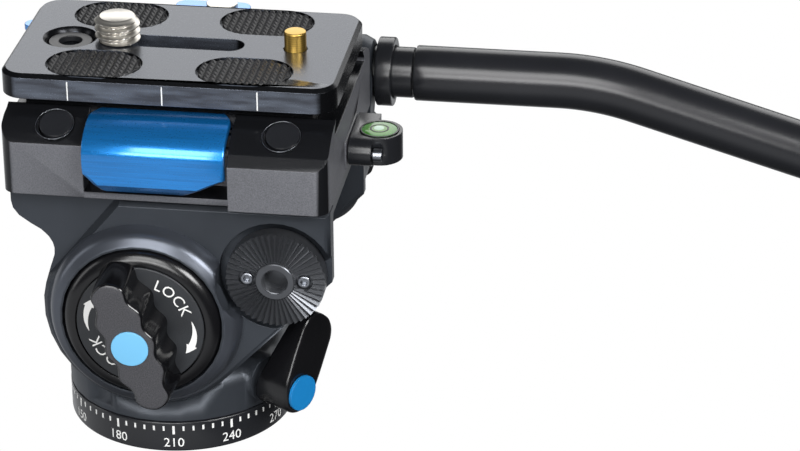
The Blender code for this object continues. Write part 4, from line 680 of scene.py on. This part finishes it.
def lock_knob():
    """The knob with its marked disc, the bar across it and the blue cap."""
    recess, low, disc = 29.5, DISC_FACE - 0.8, 13.5
    profile = np.concatenate((((KNOB_HUB, recess), (13.8, recess)), knob_rim()[::-1],
                              ((KNOB_RADIUS, KNOB_ROOT), (KNOB_HUB, KNOB_ROOT),
                               (KNOB_HUB, recess))))
    hang(lathe("lock_dial", profile, TILT_AXIS, NEAR, 144), "tilt_lock", "plastic",
         "tilt_lock_dial")
    corners = ((KNOB_HUB, low), (KNOB_HUB, DISC_FACE), (disc, DISC_FACE), (disc, low),
               (KNOB_HUB, low))
    hang(lathe("lock_face", rounded(corners, 0.2), TILT_AXIS, NEAR, 144), "tilt_lock", "disc",
         "lock_disc")
    marks = []
    for turn in (0, 180):
        lettering = word("lock_word", "LOCK", 2.45, 1.10)
        marks.append(wrap_on_disc(lettering, 44.2 + turn, 10.35 * MM, (DISC_FACE + 0.01) * MM))
        marks.append(arrow(turn))
    printed("lock_marks", marks, "tilt_lock")
    hang(grip_bar(), "tilt_lock", "grip", "grip_bar")
    seat, top, radius = 40.45, 40.87, 3.9
    corners = (0, seat), (radius, seat), (radius, top), (0, top)
    hang(lathe("knob_button", rounded(corners, 0.15), TILT_AXIS, NEAR, 96), "tilt_lock", "cap",
         "knob_cap")


def grip_bar():
    """The bar across the knob. Half its width at v along it is
    w = (5.15 - 0.0105 v^2 + 0.5 cos(2 pi v / 6.6)) sqrt(1 - |v / 15.1|^13)."""
    reach, width = 15.1, 5.0
    v = reach * np.sin(np.linspace(-math.pi / 2, math.pi / 2, 121))
    half = (5.15 - 0.0105 * v ** 2 + 0.5 * np.cos(TAU * v / 6.6))
    half = half * np.sqrt(np.maximum(1 - np.abs(v / reach) ** 13, 0))
    u = np.concatenate((half, -half[-2:0:-1]))
    v = np.concatenate((v, v[-2:0:-1]))
    bend = quarter(6)
    inset = np.concatenate(((width, -0.35, -0.3), 0.75 * (1 - np.cos(bend)), (1.6, 3.2, width)))
    height = np.concatenate(((30.62, 30.62, 31.2), 39.75 + 0.75 * np.sin(bend),
                             (40.5, 40.5, 40.5)))
    across = (1 - inset / width)[:, None]
    along = (1 - inset / reach * np.where(inset < 1, 1, 1.6))[:, None]
    along[[0, -1]] = 0
    lean = math.radians(20.5)
    x = across * u * math.cos(lean) - along * v * math.sin(lean)
    z = across * u * math.sin(lean) + along * v * math.cos(lean)
    points = np.stack((x, z, height[:, None] + 0 * x), axis=-1) * MM
    return surface("knob_bar", points @ NEAR.T + TILT_AXIS, close_columns=True)


def arrow(turn):
    """A crescent that widens along its arc and ends in a barbed head. Its half-width grows as
    0.75 u^0.7, with u from 0 to 1 along the shaft, then falls from 1.15 to 0 over the head."""
    t = np.concatenate((np.linspace(0, 0.72, 14), np.linspace(0.72, 1, 6)))
    half = np.concatenate((0.75 * np.linspace(0, 1, 14) ** 0.7, np.linspace(1.15, 0.0, 6)))
    angle = np.radians(9.6 - 41.0 * t + turn)
    radius = 11.55 - 0.5 * (2 * t - 1) ** 2
    low, high = DISC_FACE - 0.02, DISC_FACE + 0.03
    ring = (-1, low), (-1, high), (1, high), (1, low)
    grid = np.stack([polar(radius + side * half, angle, height) for side, height in ring]) * MM
    return taken(surface("arrow", grid @ NEAR.T + TILT_AXIS, close_rows=True))


def bezel(name, turn, aside):
    """The raised rim round the knob: from the cheek up a soft foot to a broad cone, then a narrow
    lip. Its reach is cut by the rosette's pocket, a circle of radius p at distance d: along a
    ray at angle a from the line between the axes that is d cos a - sqrt(p^2 - d^2 sin^2 a)."""
    side = rounded(((20.5, 24.2), (20.3, 25.6), (19.5, 27.6), (17.45, 28.95), (17.05, 29.0),
                    (17.02, 28.5)), 1.6, 12)
    profile = np.concatenate((side, ((17.02, 24.1), (20.5, 24.1), (20.5, 24.2))))
    angle = circle(180)
    between = (ROSETTE_AXIS - TILT_AXIS)[[0, 2]] / MM
    distance, pocket = np.hypot(*between), 12.2
    off = angle - aside * math.atan2(between[1], between[0])
    root = pocket ** 2 - (distance * np.sin(off)) ** 2
    limit = np.where((root > 0) & (np.cos(off) > 0),
                     distance * np.cos(off) - np.sqrt(np.maximum(root, 0)), 99)
    radii = np.minimum(profile[:, :1], np.maximum(limit, 17.4))
    hang(rings(name, radii, angle, profile[:, 1:], TILT_AXIS, turn), "tilt", "bezel")


def drum_cover():
    """The cover opposite the knob, with the knob's own rim and a hollow for the axle's nut."""
    hollow, ceiling = 6.8, 27.7
    profile = np.concatenate((((0, ceiling), (hollow, ceiling), (hollow, KNOB_ROOT),
                               (KNOB_RADIUS, KNOB_ROOT)), knob_rim(), ((0, 30.5),)))
    hang(lathe("drum_cover", profile, TILT_AXIS, FAR, 144), "tilt", "grained", "far_cover")


# Rosettes
def rosette(name, node, turn):
    """Radial teeth: a face at radius r and angle a falls from its crest by depth r / R times a
    saw wave of 48 turns of a. Two round pits at 6 mm hold the screws, and the boss has a
    threaded bore whose radius is 2.8 less 0.3 times a triangle wave of height less angle."""
    s = sizes()
    teeth, low, rim = 48, 22.9, s.rosette_radius / MM
    crest, foot = 26.45, 22.72
    pit_reach, pit_radius, pit_floor = 6, 1.75, 25.2
    angle = circle(teeth * 7)
    depth = np.linspace(low, 26.9, 30)[:, None]
    wave = triangle(depth / 0.9 - angle / TAU) * (depth > low) * (depth < 26.7)
    boss = np.array(((3.0, 26.92), (3.9, 26.92), (4.1, 26.75), (4.12, 26.25)))
    radius = np.concatenate((np.linspace(4.2, 8.0, 26), np.linspace(8.4, rim - 0.02, 5)))[:, None]
    saw = (angle / TAU * teeth) % 1
    tooth = np.where(saw < 0.72, saw / 0.72, (1 - saw) / 0.28)
    face = crest - s.tooth_depth / MM * radius / rim * tooth
    x, y = radius * np.cos(angle), radius * np.sin(angle)
    away = np.minimum(np.hypot(x - pit_reach, y), np.hypot(x + pit_reach, y))
    face = np.where(away < pit_radius, pit_floor, face)
    flat = 0 * angle
    radii = np.concatenate((flat, 2.8 - 0.30 * wave, boss[:, :1] + flat, radius + flat,
                            rim + flat, rim + flat, flat))
    heights = np.concatenate((low + flat, depth + flat, boss[:, 1:] + flat, face,
                              face[-1:] - 0.05, foot + flat, foot + flat))
    piece = rings(name, radii, angle, heights, ROSETTE_AXIS, turn)
    smooth(piece.data, 16)
    hang(piece, "tilt", "teeth", node)


def socket_screw(name, node, centre, turn):
    """A small screw head with a six-sided socket; the socket's radius is that of a hexagon."""
    top, radius = 26.15, 1.35
    angle = circle(48)
    hexagon = math.cos(math.pi / 6) / np.cos((angle % (TAU / 6)) - math.pi / 6)
    # Each step's radius, its height and whether it is a hexagon.
    steps = np.array(((0, top - 1.0, 0), (radius, top - 1.0, 0), (radius, top - 0.2, 0),
                      (radius - 0.2, top, 0), (radius * 0.55, top, 1),
                      (radius * 0.5, top - 0.7, 1), (0, top - 0.7, 0)))
    radii = steps[:, :1] * (1 - steps[:, 2:] + steps[:, 2:] * hexagon)
    hang(rings(name, radii, angle, steps[:, 1:2], centre, turn), "tilt", "steel", node)


# Camera plate
def knurled_pad(name, node):
    """A grid of square points: height is a pyramid wave in x and y, cut off by a stadium."""
    s = sizes()
    low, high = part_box(node)
    centre = (np.array(low) + np.array(high)) / 2
    length, width = (high.x - low.x), (high.y - low.y)
    nx, ny = [int(round(size / s.knurl_pitch)) * 2 for size in (length, width)]
    x = np.linspace(-length / 2, length / 2, nx + 1)[:, None] + np.zeros((1, ny + 1))
    y = np.linspace(-width / 2, width / 2, ny + 1)[None, :] + np.zeros((nx + 1, 1))
    peak = (np.arange(nx + 1)[:, None] % 2) * (np.arange(ny + 1)[None, :] % 2)
    radius = width / 2
    past = np.maximum(np.abs(x) - (length / 2 - radius), 0)
    reach = np.sqrt(np.maximum(radius ** 2 - past ** 2, 0))
    inside = np.abs(y) < reach * 0.985
    y = np.clip(y, -reach, reach)
    top = high.z - s.knurl_height * (1 - peak * inside)
    upper, lower = [np.stack((x + centre[0], y + centre[1], z), axis=-1)
                    for z in (top, np.full_like(x, low.z))]
    pad = sheet_between(name, upper, lower)
    pad.data.shade_flat()
    hang(pad, "camera_plate", "rubber", node)


def camera_screw():
    """A real helix: r = crest - depth times a triangle wave of height over pitch less the turn,
    its crests and roots flattened, between a headed shank and a chamfered tip."""
    s = sizes()
    foot, tip = span("camera_screw")
    start = span("camera_plate")[1] + 0.3
    height = np.linspace(start, tip - 0.7, 61)[:, None]
    angle = circle(96)
    wave = triangle(height / (s.thread_pitch / MM) - angle / TAU)
    helix = s.thread_radius / MM - 0.85 * np.clip(wave * 1.5 - 0.2, 0, 1)
    head, shank, over = 5.5, 2.7, foot + 2.4
    lower = np.array(((0, foot), (head, foot), (head, over), (shank, over), (shank, start)))
    end = np.array(((3.95, tip - 0.4), (3.7, tip - 0.1), (3.5, tip), (0, tip)))
    radii = np.concatenate((lower[:, :1] + 0 * angle, helix, end[:, :1] + 0 * angle))
    heights = np.concatenate((lower[:, 1:], height, end[:, 1:]))
    hang(rings("thread_screw", radii, angle, heights, SCREW_AXIS), "camera_screw", "nickel",
         "camera_screw")


def locating_pin():
    """The brass pin on its wider foot, with softly rounded edges."""
    low, high = span("video_pin")
    foot, shaft, step = 3.4, 2.3, low + 1.6
    corners = (0, low), (foot, low), (foot, step), (shaft, step), (shaft, high), (0, high)
    hang(lathe("locating_pin", rounded(corners, 0.35), PIN_AXIS, sides=96), "video_pin", "brass",
         "video_pin")


def plate_body():
    """The plate's own shape with a wide chamfer on its upper rim. The rim's points are those on
    the rounded rectangle of the outline; the upper ones move in, the lower ones move down."""
    item = own_copy("camera_plate", "plate", angle=30)
    low, high = [np.array(corner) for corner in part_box("camera_plate")]
    middle, half, corner, chamfer = (low + high)[:2] / 2, (high - low)[:2] / 2, 5 * MM, 0.8 * MM
    points = coordinates(item.data)
    across = points[:, :2] - middle
    over = np.maximum(np.abs(across) - half + corner, 0)
    reach = np.linalg.norm(over, axis=1)
    outward = np.sign(across) * over / np.maximum(reach, 1e-9)[:, None]
    top = (points[:, 2] > high[2] - 0.01 * MM) & (reach > corner - 0.3 * MM)
    side = ((points[:, 2] > high[2] - 0.4 * MM) & (points[:, 2] <= high[2] - 0.01 * MM)
            & (reach > corner - 0.1 * MM))
    if not (top.any() and side.any()):
        raise RuntimeError("the plate's upper rim was not found")
    points[top, :2] -= (outward * (reach - corner + chamfer)[:, None])[top]
    points[side, 2] = high[2] - chamfer
    smooth(move_to(item.data, points), 30)
    hang(item, "camera_plate", "plate", "camera_plate")


def plate_marks():
    """Three thin white index lines on the plate's front edge."""
    front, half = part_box("camera_plate")[0].y, 0.13
    marks = [box_mesh("index", ((x - half) * MM, front - 0.015 * MM, 79.3 * MM),
                      ((x + half) * MM, front + 0.05 * MM, 83.4 * MM))
             for x in (-17.1, 2.6, 22.35)]
    printed("index_lines", marks, "camera_plate")


# Platform
def plug_rim(name, node):
    """The bright burr round a clamp plug: a thin ring, half sunk, where the plug's outer face
    meets the block. The plug's axis is the direction in which its points spread least."""
    points = coordinates(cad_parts[node].data)
    middle = points.mean(axis=0)
    spread = np.linalg.svd(points - middle, full_matrices=False)[2]
    axis = spread[2] * np.sign(spread[2][2])
    height = (points - middle) @ axis
    radius = np.linalg.norm(points - middle - height[:, None] * axis, axis=1).max()
    t = np.linspace(0, TAU, 10)
    ring = np.stack((radius / MM + 0.09 * np.cos(t), height.max() / MM + 0.06 * np.sin(t)),
                    axis=-1)
    turn = np.stack((spread[0], np.cross(axis, spread[0]), axis), axis=1)
    hang(lathe(name, ring, middle, turn, 96), "tilt", "steel")


def release_flap():
    """The blue finger flap. Its outer side is a quarter ellipse from the top to the crease and a
    plane from there to the foot; the rim falls away by a 45 degree bevel that grows at the foot."""
    low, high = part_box("release_lever")
    left, right, foot, crown = low.x / MM, high.x / MM, low.z / MM, high.z / MM
    crease, reach, top_y = 71.1, -low.y / MM, 20.2
    bend = quarter(22)
    curve = np.stack((top_y + (reach - 0.9 - top_y) * np.sin(bend),
                      crease + (crown - crease) * np.cos(bend)), axis=-1)
    levels = np.array((70.2, 68.6, 67.5, foot + 3.4, foot + 2.6, foot + 1.5, foot + 0.75, foot))
    plane = np.stack((reach - 0.9 * (levels - foot) / (crease - foot), levels), axis=-1)
    line = np.concatenate((((18.0, crown),), curve, plane))
    tangent = np.gradient(line, axis=0)
    tangent /= np.linalg.norm(tangent, axis=1, keepdims=True)
    inward = np.stack((tangent[:, 1], -tangent[:, 0]), axis=-1)
    y, z = line.T
    narrow = np.clip((foot + 3.6 - z) / 3.6, 0, 1)
    near_foot = np.clip((69.5 - z) / 3.0, 0, 1)
    corner = 1.6 * (1 - np.sqrt(1 - np.clip((y < 21.5) * (21.5 - y) / 3.5, 0, 1)))
    first = left + 3.6 * narrow + corner
    last = right - 7.4 * narrow - corner
    bevel = 0.35 + 0.95 * near_foot
    drop = np.clip((foot + 1.5 - z) / 1.5, 0, 1) * 1.2
    wall = 1.4 + 0.6 * near_foot
    # The section's corners: from which side, how far in from it and how deep, or at the wall.
    ring = ((first, bevel, 0.0), (last, -bevel, 0.0), (last, -bevel * 0.3, bevel * 0.35),
            (last, 0, bevel), (last, 0, None), (first, 0, None), (first, 0, bevel),
            (first, bevel * 0.3, bevel * 0.35))
    columns = []
    for side, shift, depth in ring:
        deep = wall if depth is None else np.minimum(depth + drop, wall)
        spot = line + inward * deep[:, None]
        columns.append(np.stack((side + shift, -spot[:, 0], spot[:, 1]), axis=-1))
    grid = np.stack(columns, axis=1) * MM
    middle = grid.mean(axis=1, keepdims=True)
    capped = np.concatenate((middle[:1] + 0 * grid[:1], grid, middle[-1:] + 0 * grid[-1:]))
    return surface("release_flap", capped, close_columns=True)


def level():
    """The vial under a low dome, its printed rings and the bubble, a little off the middle."""
    recast("level_housing", "level_case", "tilt", "anodised", 0.25)
    low, top = span("level_vial")
    t = quarter(12)
    dome = np.stack((VIAL_RADIUS * np.cos(t), top - 0.3 + 0.3 * np.sin(t)), axis=-1)
    hang(lathe("vial", np.concatenate((((0, low), (VIAL_RADIUS, low)), dome)), VIAL_AXIS),
         "tilt", "level", "level_vial")
    for name, inner, outer, drop in (("vial_ring", 1.62, 2.02, 0.0), ("vial_seam", 3.75, 4.1, 0.1)):
        band = ((inner, top - 0.3), (inner, top - drop), (outer, top - drop),
                (outer, top - 0.3), (inner, top - 0.3))
        hang(lathe(name, rounded(band, 0.03), VIAL_AXIS), "tilt", "ring")
    bubble = np.stack((BUBBLE_RADIUS * np.cos(t), top - 0.1 + 0.12 * np.sin(t)), axis=-1)
    hang(lathe("vial_bubble", np.concatenate((((0, top - 0.1),), bubble)),
               VIAL_AXIS + np.array((-0.1, 0.15, 0)) * MM), "tilt", "bubble")
    recast("level_screw", "level_bolt", "tilt", "steel", 0.2)


# Pan bar
def bar_line():
    """The bar's centre line: straight, an arc of one bend, then straight to its tail."""
    first, straight, bend, reach, tail = 46.6, 31.4, math.radians(16.7), 60.0, 176
    side, high = BAR_AXIS[1:] / MM
    turn = np.linspace(0, bend, 24)
    level_part = np.stack((np.linspace(first, first + straight, 12)[:-1], np.full(11, high)),
                          axis=-1)
    curve = np.stack((first + straight + reach * np.sin(turn),
                      high - reach + reach * np.cos(turn)), axis=-1)
    along = np.linspace(0, tail, 40)[1:, None]
    line = np.concatenate((level_part, curve,
                           curve[-1] + along * np.array((math.cos(bend), -math.sin(bend)))))
    return np.stack((line[:, 0], np.full(len(line), side), line[:, 1]), axis=-1) * MM


def tube(name, line, direction, radii, sides=72):
    """A circle of changing radius carried along a line whose directions are given."""
    forward = direction / np.linalg.norm(direction, axis=1, keepdims=True)
    side = np.array((0, 1.0, 0)) + 0 * forward
    up = np.cross(forward, side)
    angle = circle(sides)[..., None]
    ring = np.cos(angle) * side[:, None, :] + np.sin(angle) * up[:, None, :]
    radii = radii.reshape(len(line), -1, 1)
    return surface(name, line[:, None, :] + ring * radii, close_columns=True)


def pan_bar():
    """The anodised tube with softly rounded ends along the bar's line, and what it carries."""
    path, radius, soft = bar_line(), sizes().bar_radius, 0.4 * MM
    step, last = [end / np.linalg.norm(end) for end in (path[1] - path[0], path[-1] - path[-2])]
    line = np.concatenate(((path[0], path[0], path[0] + step * soft * 0.3, path[0] + step * soft),
                           path[1:-1], (path[-1] - last * soft, path[-1], path[-1])))
    radii = np.concatenate(((1e-7, radius - soft, radius - soft * 0.3, radius),
                            np.full(len(path) - 2, radius), (radius, radius - soft, 1e-7)))
    direction = np.concatenate((np.tile(step, (4, 1)), np.gradient(path, axis=0)[1:-1],
                                np.tile(last, (3, 1))))
    hang(tube("bar", line, direction, radii), "pan_bar", "anodised", "bar_tube")
    hand_grip(path[-1], last)
    recast("bar_neck", "neck", "pan_bar", "anodised", 0.3)
    collar = (5.9, 38.3), (7.6, 38.3), (7.6, 41.9), (5.9, 41.9), (5.9, 38.3)
    hang(lathe("collar", rounded(collar, 0.35), BAR_AXIS, ALONG), "pan_bar", "anodised",
         "bar_collar")
    recast("bar_bracket", "bar_arm", "pan_bar", "bracket", 0.6, segments=3,
           angle=30)


def hand_grip(tail, direction):
    """The rubber grip: its radius falls by 0.6 times the square of a cosine of two turns along
    it, and carries small lozenges, a cosine in angle times one along it. A cap closes its end."""
    length, bore, lozenge_high, lozenge_long = 118.0, 6.4, 0.16, 2.6
    along = np.linspace(-length, 0, 190)
    share = (along + length) / length
    waist = 0.6 * np.cos(share * 4 * math.pi) ** 2 * (share > 0.1) * (share < 0.9)
    ends = np.minimum(share, 1 - share) * length
    body = (sizes().grip_radius / MM - 0.12 - waist
            - 2.2 * np.clip(1 - ends / 2.2, 0, 1) ** 2)
    angle = circle(96)
    lozenge = np.cos(angle * 24) * np.cos(along / lozenge_long * math.pi)[:, None]
    outer = body[:, None] + lozenge_high * lozenge * np.clip((ends - 8) / 4, 0, 1)[:, None]
    inner = np.full_like(angle, bore)
    radii = np.concatenate((inner, outer, inner, inner))
    reach = np.concatenate((along[:1], along, along[-1:], along[:1]))
    t = quarter(10)
    cap_radii = np.concatenate(((1e-4, 10.4), 7.0 + 3.4 * np.cos(t), (1e-4,)))
    cap_reach = np.concatenate(((0.3, 0.3), 3.4 + 3.4 * np.sin(t), (6.8,)))
    for name, spots, radius, finish, node in (
            ("hand_grip", reach, radii, "rubber", "bar_grip"),
            ("grip_cap", cap_reach, cap_radii, "grained", "bar_end_cap")):
        line = tail + spots[:, None] * MM * direction
        hang(tube(name, line, np.tile(direction, (len(line), 1)), radius * MM, 96), "pan_bar",
             finish, node)


def clamp_knob():
    """Seven lobes: radius is 10.3 minus 0.9 times the cosine of seven turns, with soft rims."""
    low, high, mean = 38.2, 48.9, 10.3
    angle = circle(168)
    lobes = mean - 0.9 * np.cos(7 * angle)
    # Each step's share of the radius and its height; the bore's floor comes first.
    steps = np.array(((0.0, low + 5), (0.24, low + 5), (0.24, low), (0.93, low), (1.0, low + 0.7),
                      (1.0, high - 1.0), (0.95, high - 0.25), (0.88, high), (0.62, high),
                      (0.58, high - 0.5), (0.0, high - 0.5)))
    share = steps[:, :1]
    blend = np.clip((share - 0.6) / 0.3, 0, 1)
    radii = share * (lobes * blend + mean * (1 - blend))
    hang(rings("clamp_knob", radii, angle, steps[:, 1:], ROSETTE_AXIS, FAR), "bar_clamp",
         "grained", "bar_clamp_knob")


# Stage
# Each lamp's place and aim in metres, its width and height in metres and its power in watts.
LAMPS = (
    ("backdrop", (0.15, 2.2, 1.15), (0, 0, 0.07), 3.4, 1.5, 38),
    ("front strip", (-0.15, -1.35, 0.42), (0, 0, 0.07), 0.9, 0.36, 10),
    ("front fill", (-0.10, -1.2, 0.98), (0, 0, 0.07), 0.9, 0.60, 13),
    ("right key", (0.89, -0.74, 0.73), (0, 0, 0.04), 0.6, 0.5, 18),
    ("left edge", (-1.2, -0.2, 0.35), (0, 0, 0.05), 0.4, 0.8, 2),
)
FLOOR_TOP = -0.32
FLOOR_HALF = 3.0


def seen_or_lit(tree, seen, lit):
    """One shader for what the camera sees itself and another for every other ray."""
    ray = add(tree, "LightPath")
    return add(tree, "MixShader", {0: ray.outputs["Is Camera Ray"], 1: lit, 2: seen})


def floor():
    """White studio paper that the camera sees as plain white. To the head it glows pale, with
    painted shade to the right and a painted shadow under the head, as the photo's black faces show
    it."""
    mesh = box_mesh("floor", (-FLOOR_HALF, -FLOOR_HALF, FLOOR_TOP - 0.02),
                    (FLOOR_HALF, FLOOR_HALF, FLOOR_TOP))
    material = bpy.data.materials.new("white studio paper")
    tree = emptied(material)
    where = add(tree, "TexCoord").outputs["Object"]
    across = add(tree, "SeparateXYZ", {"Vector": where})
    # Painted shade: the floor's glow falls off to the right of the head.
    painted_shade_right = add(tree, "MapRange", {"Value": across.outputs["X"], "From Min": 0.25,
                                  "From Max": 0.50, "To Min": 0.72, "To Max": 0.04})
    flat = add(tree, "VectorMath", {0: where, 1: (1, 1, 0)}, operation="MULTIPLY")
    reach = add(tree, "VectorMath", {0: flat}, operation="LENGTH")
    # Painted shadow: the floor's glow is dimmer under the head.
    under = add(tree, "MapRange", {"Value": reach.outputs["Value"], "From Min": 0.20,
                                   "From Max": 0.55, "To Min": 0.10, "To Max": 1.0})
    strength = add(tree, "Math", {0: painted_shade_right, 1: under}, operation="MULTIPLY")
    lit = add(tree, "Emission", {"Color": linear("#f2f4f7"), "Strength": strength})
    seen = add(tree, "Emission", {"Color": linear("#ffffff"), "Strength": 1.0})
    add(tree, "OutputMaterial", {"Surface": seen_or_lit(tree, seen, lit)})
    mesh.materials.append(material)
    put("floor", mesh)


def backdrop():
    """Plain white behind the head for the camera, and a dim cool room for the rest."""
    world = bpy.data.worlds.new("studio")
    bpy.context.scene.world = world
    tree = emptied(world)
    white = add(tree, "Background", {"Color": linear("#ffffff"), "Strength": 1.0})
    room = add(tree, "Background", {"Color": linear("#c8ccd2"), "Strength": 0.10})
    add(tree, "OutputWorld", {"Surface": seen_or_lit(tree, white, room)})


def lamp(name, where, target, width, height, power):
    """One soft rectangular lamp, turned to its target."""
    light = bpy.data.lights.new(name, "AREA")
    light.shape = "RECTANGLE"
    light.size = width
    light.size_y = height
    light.energy = power
    direction = Vector(target) - Vector(where)
    put(name, light).matrix_world = (Matrix.Translation(where)
                                     @ direction.to_track_quat("-Z", "Y").to_matrix().to_4x4())


def camera():
    """The photograph's viewpoint: 26 degrees down and 8.5 degrees round from the lock knob."""
    yaw, pitch, roll = math.radians(8.479), math.radians(26.304), math.radians(-0.363)
    forward = Vector((-math.sin(yaw) * math.cos(pitch), math.cos(yaw) * math.cos(pitch),
                      -math.sin(pitch)))
    level_right = Vector((math.cos(yaw), math.sin(yaw), 0))
    level_up = level_right.cross(forward)
    right = level_right * math.cos(roll) + level_up * math.sin(roll)
    up = level_up * math.cos(roll) - level_right * math.sin(roll)
    data = bpy.data.cameras.new("photo view")
    data.sensor_width = 36.0
    data.sensor_fit = "HORIZONTAL"
    data.lens = 147.566
    data.clip_start = 0.01
    item = put("photo view", data)
    turn = Matrix((right, up, -forward)).transposed().to_4x4()
    item.matrix_world = Matrix.Translation(Vector((140.307, -616.586, 353.125)) * MM) @ turn
    bpy.context.scene.camera = item


# Operators
class HEAD_OT_stage(bpy.types.Operator):
    """Camera, floor and studio lamps"""
    bl_idname = "fluid_head.stage"
    bl_label = "Stage"

    def execute(self, context):
        camera()
        floor()
        backdrop()
        for row in LAMPS:
            lamp(*row)
        context.scene.view_settings.view_transform = "Standard"
        return {"FINISHED"}


class HEAD_OT_base(bpy.types.Operator):
    """Pan scale, foot plate and tripod thread"""
    bl_idname = "fluid_head.base"
    bl_label = "Base"

    def execute(self, context):
        dial()
        dial_scale()
        recast("base_plate", "foot_plate", "base", "anodised", 0.3)
        tripod_thread()
        in_steel("pan_cartridge", "pan_axle")
        return {"FINISHED"}


class HEAD_OT_housing(bpy.types.Operator):
    """Pan housing with its drum, and the pan lock lever"""
    bl_idname = "fluid_head.housing"
    bl_label = "Housing"

    def execute(self, context):
        recast("pan_housing", "housing", "pan", "bracket", angle=40)
        in_steel("tilt_cartridge_near", "tilt_cartridge_far", "tilt_axle", "axle_nut",
                 "pan_lock_screw")
        hang(pan_lever(), "pan_lock", "plastic", "pan_lock_lever")
        recast("pan_lock_cap", "pan_lever_cap", "pan_lock", "deep cap")
        return {"FINISHED"}


class HEAD_OT_bracket(bpy.types.Operator):
    """Tilt bracket, bezels, rosettes and far cover"""
    bl_idname = "fluid_head.bracket"
    bl_label = "Tilt bracket"

    def execute(self, context):
        recast("tilt_bracket", "cheeks", "tilt", "bracket", angle=30)
        cheeks = ("near", NEAR, 1), ("far", FAR, -1)
        for side, turn, aside in cheeks:
            bezel("bezel_" + side, turn, aside)
        for side, turn, aside in cheeks:
            rosette("teeth_" + side, "rosette_" + side, turn)
        for side, turn, aside in cheeks:
            for index, x in ((1, -6.0), (2, 6.0)):
                socket_screw("bolt_%s_%d" % (side, index), "rosette_screw_%s_%d" % (side, index),
                             ROSETTE_AXIS + np.array((x * MM, 0, 0)), turn)
        drum_cover()
        return {"FINISHED"}


class HEAD_OT_knob(bpy.types.Operator):
    """Tilt lock knob with its marked disc, bar and cap"""
    bl_idname = "fluid_head.knob"
    bl_label = "Lock knob"

    def execute(self, context):
        lock_knob()
        return {"FINISHED"}


class HEAD_OT_platform(bpy.types.Operator):
    """Platform, its levers and the level"""
    bl_idname = "fluid_head.platform"
    bl_label = "Platform"

    def execute(self, context):
        recast("platform", "platform_block", "tilt", "block", 0.35, angle=40)
        for index in range(1, 5):
            node = "clamp_plug_%d" % index
            recast(node, "plug_%d" % index, "tilt", "anodised")
            plug_rim("plug_rim_%d" % index, node)
        in_steel("release_pin")
        hang(release_flap(), "release_lever", "blue", "release_lever")
        recast("plate_lock_lever", "lock_arm", "plate_lock", "blue", 0.3, angle=40)
        recast("plate_lock_screw", "lock_bolt", "tilt", "nickel", 0.2, angle=40)
        level()
        return {"FINISHED"}


class HEAD_OT_plate(bpy.types.Operator):
    """Camera plate with pads, screw and pin"""
    bl_idname = "fluid_head.plate"
    bl_label = "Camera plate"

    def execute(self, context):
        plate_body()
        for index in range(1, 5):
            knurled_pad("pad_%d" % index, "grip_pad_%d" % index)
        recast("spare_insert", "spare_ring", "camera_plate", "insert", 0.15)
        in_steel("screw_washer")
        plate_marks()
        camera_screw()
        locating_pin()
        return {"FINISHED"}


class HEAD_OT_bar(bpy.types.Operator):
    """Pan bar with its arm, grip and clamp knob"""
    bl_idname = "fluid_head.bar"
    bl_label = "Pan bar"

    def execute(self, context):
        pan_bar()
        clamp_knob()
        in_steel("bar_clamp_stud")
        return {"FINISHED"}


class HEAD_PT_panel(bpy.types.Panel):
    """The head's steps and settings"""
    bl_label = "Fluid head"
    bl_space_type = "VIEW_3D"
    bl_region_type = "UI"
    bl_category = "Fluid head"

    def draw(self, context):
        for step in STEPS:
            self.layout.operator(step.bl_idname)
        for group in (context.scene.fluid_head_sizes, context.scene.fluid_head_colours):
            for key in group.__annotations__:
                self.layout.prop(group, key)


STEPS = (HEAD_OT_stage, HEAD_OT_base, HEAD_OT_housing, HEAD_OT_bracket, HEAD_OT_knob,
         HEAD_OT_platform, HEAD_OT_plate, HEAD_OT_bar)
CLASSES = (HeadSizes, HeadColours) + STEPS + (HEAD_PT_panel,)


def register():
    for item in CLASSES:
        bpy.utils.register_class(item)
    bpy.types.Scene.fluid_head_sizes = bpy.props.PointerProperty(type=HeadSizes)
    bpy.types.Scene.fluid_head_colours = bpy.props.PointerProperty(type=HeadColours)


def unregister():
    del bpy.types.Scene.fluid_head_colours
    del bpy.types.Scene.fluid_head_sizes
    for item in reversed(CLASSES):
        bpy.utils.unregister_class(item)


def main():
    register()
    bpy.ops.fluid_head.stage()
    bpy.ops.fluid_head.base()
    bpy.ops.fluid_head.housing()
    bpy.ops.fluid_head.bracket()
    bpy.ops.fluid_head.knob()
    bpy.ops.fluid_head.platform()
    bpy.ops.fluid_head.plate()
    bpy.ops.fluid_head.bar()


if __name__ == "__main__":
    main()
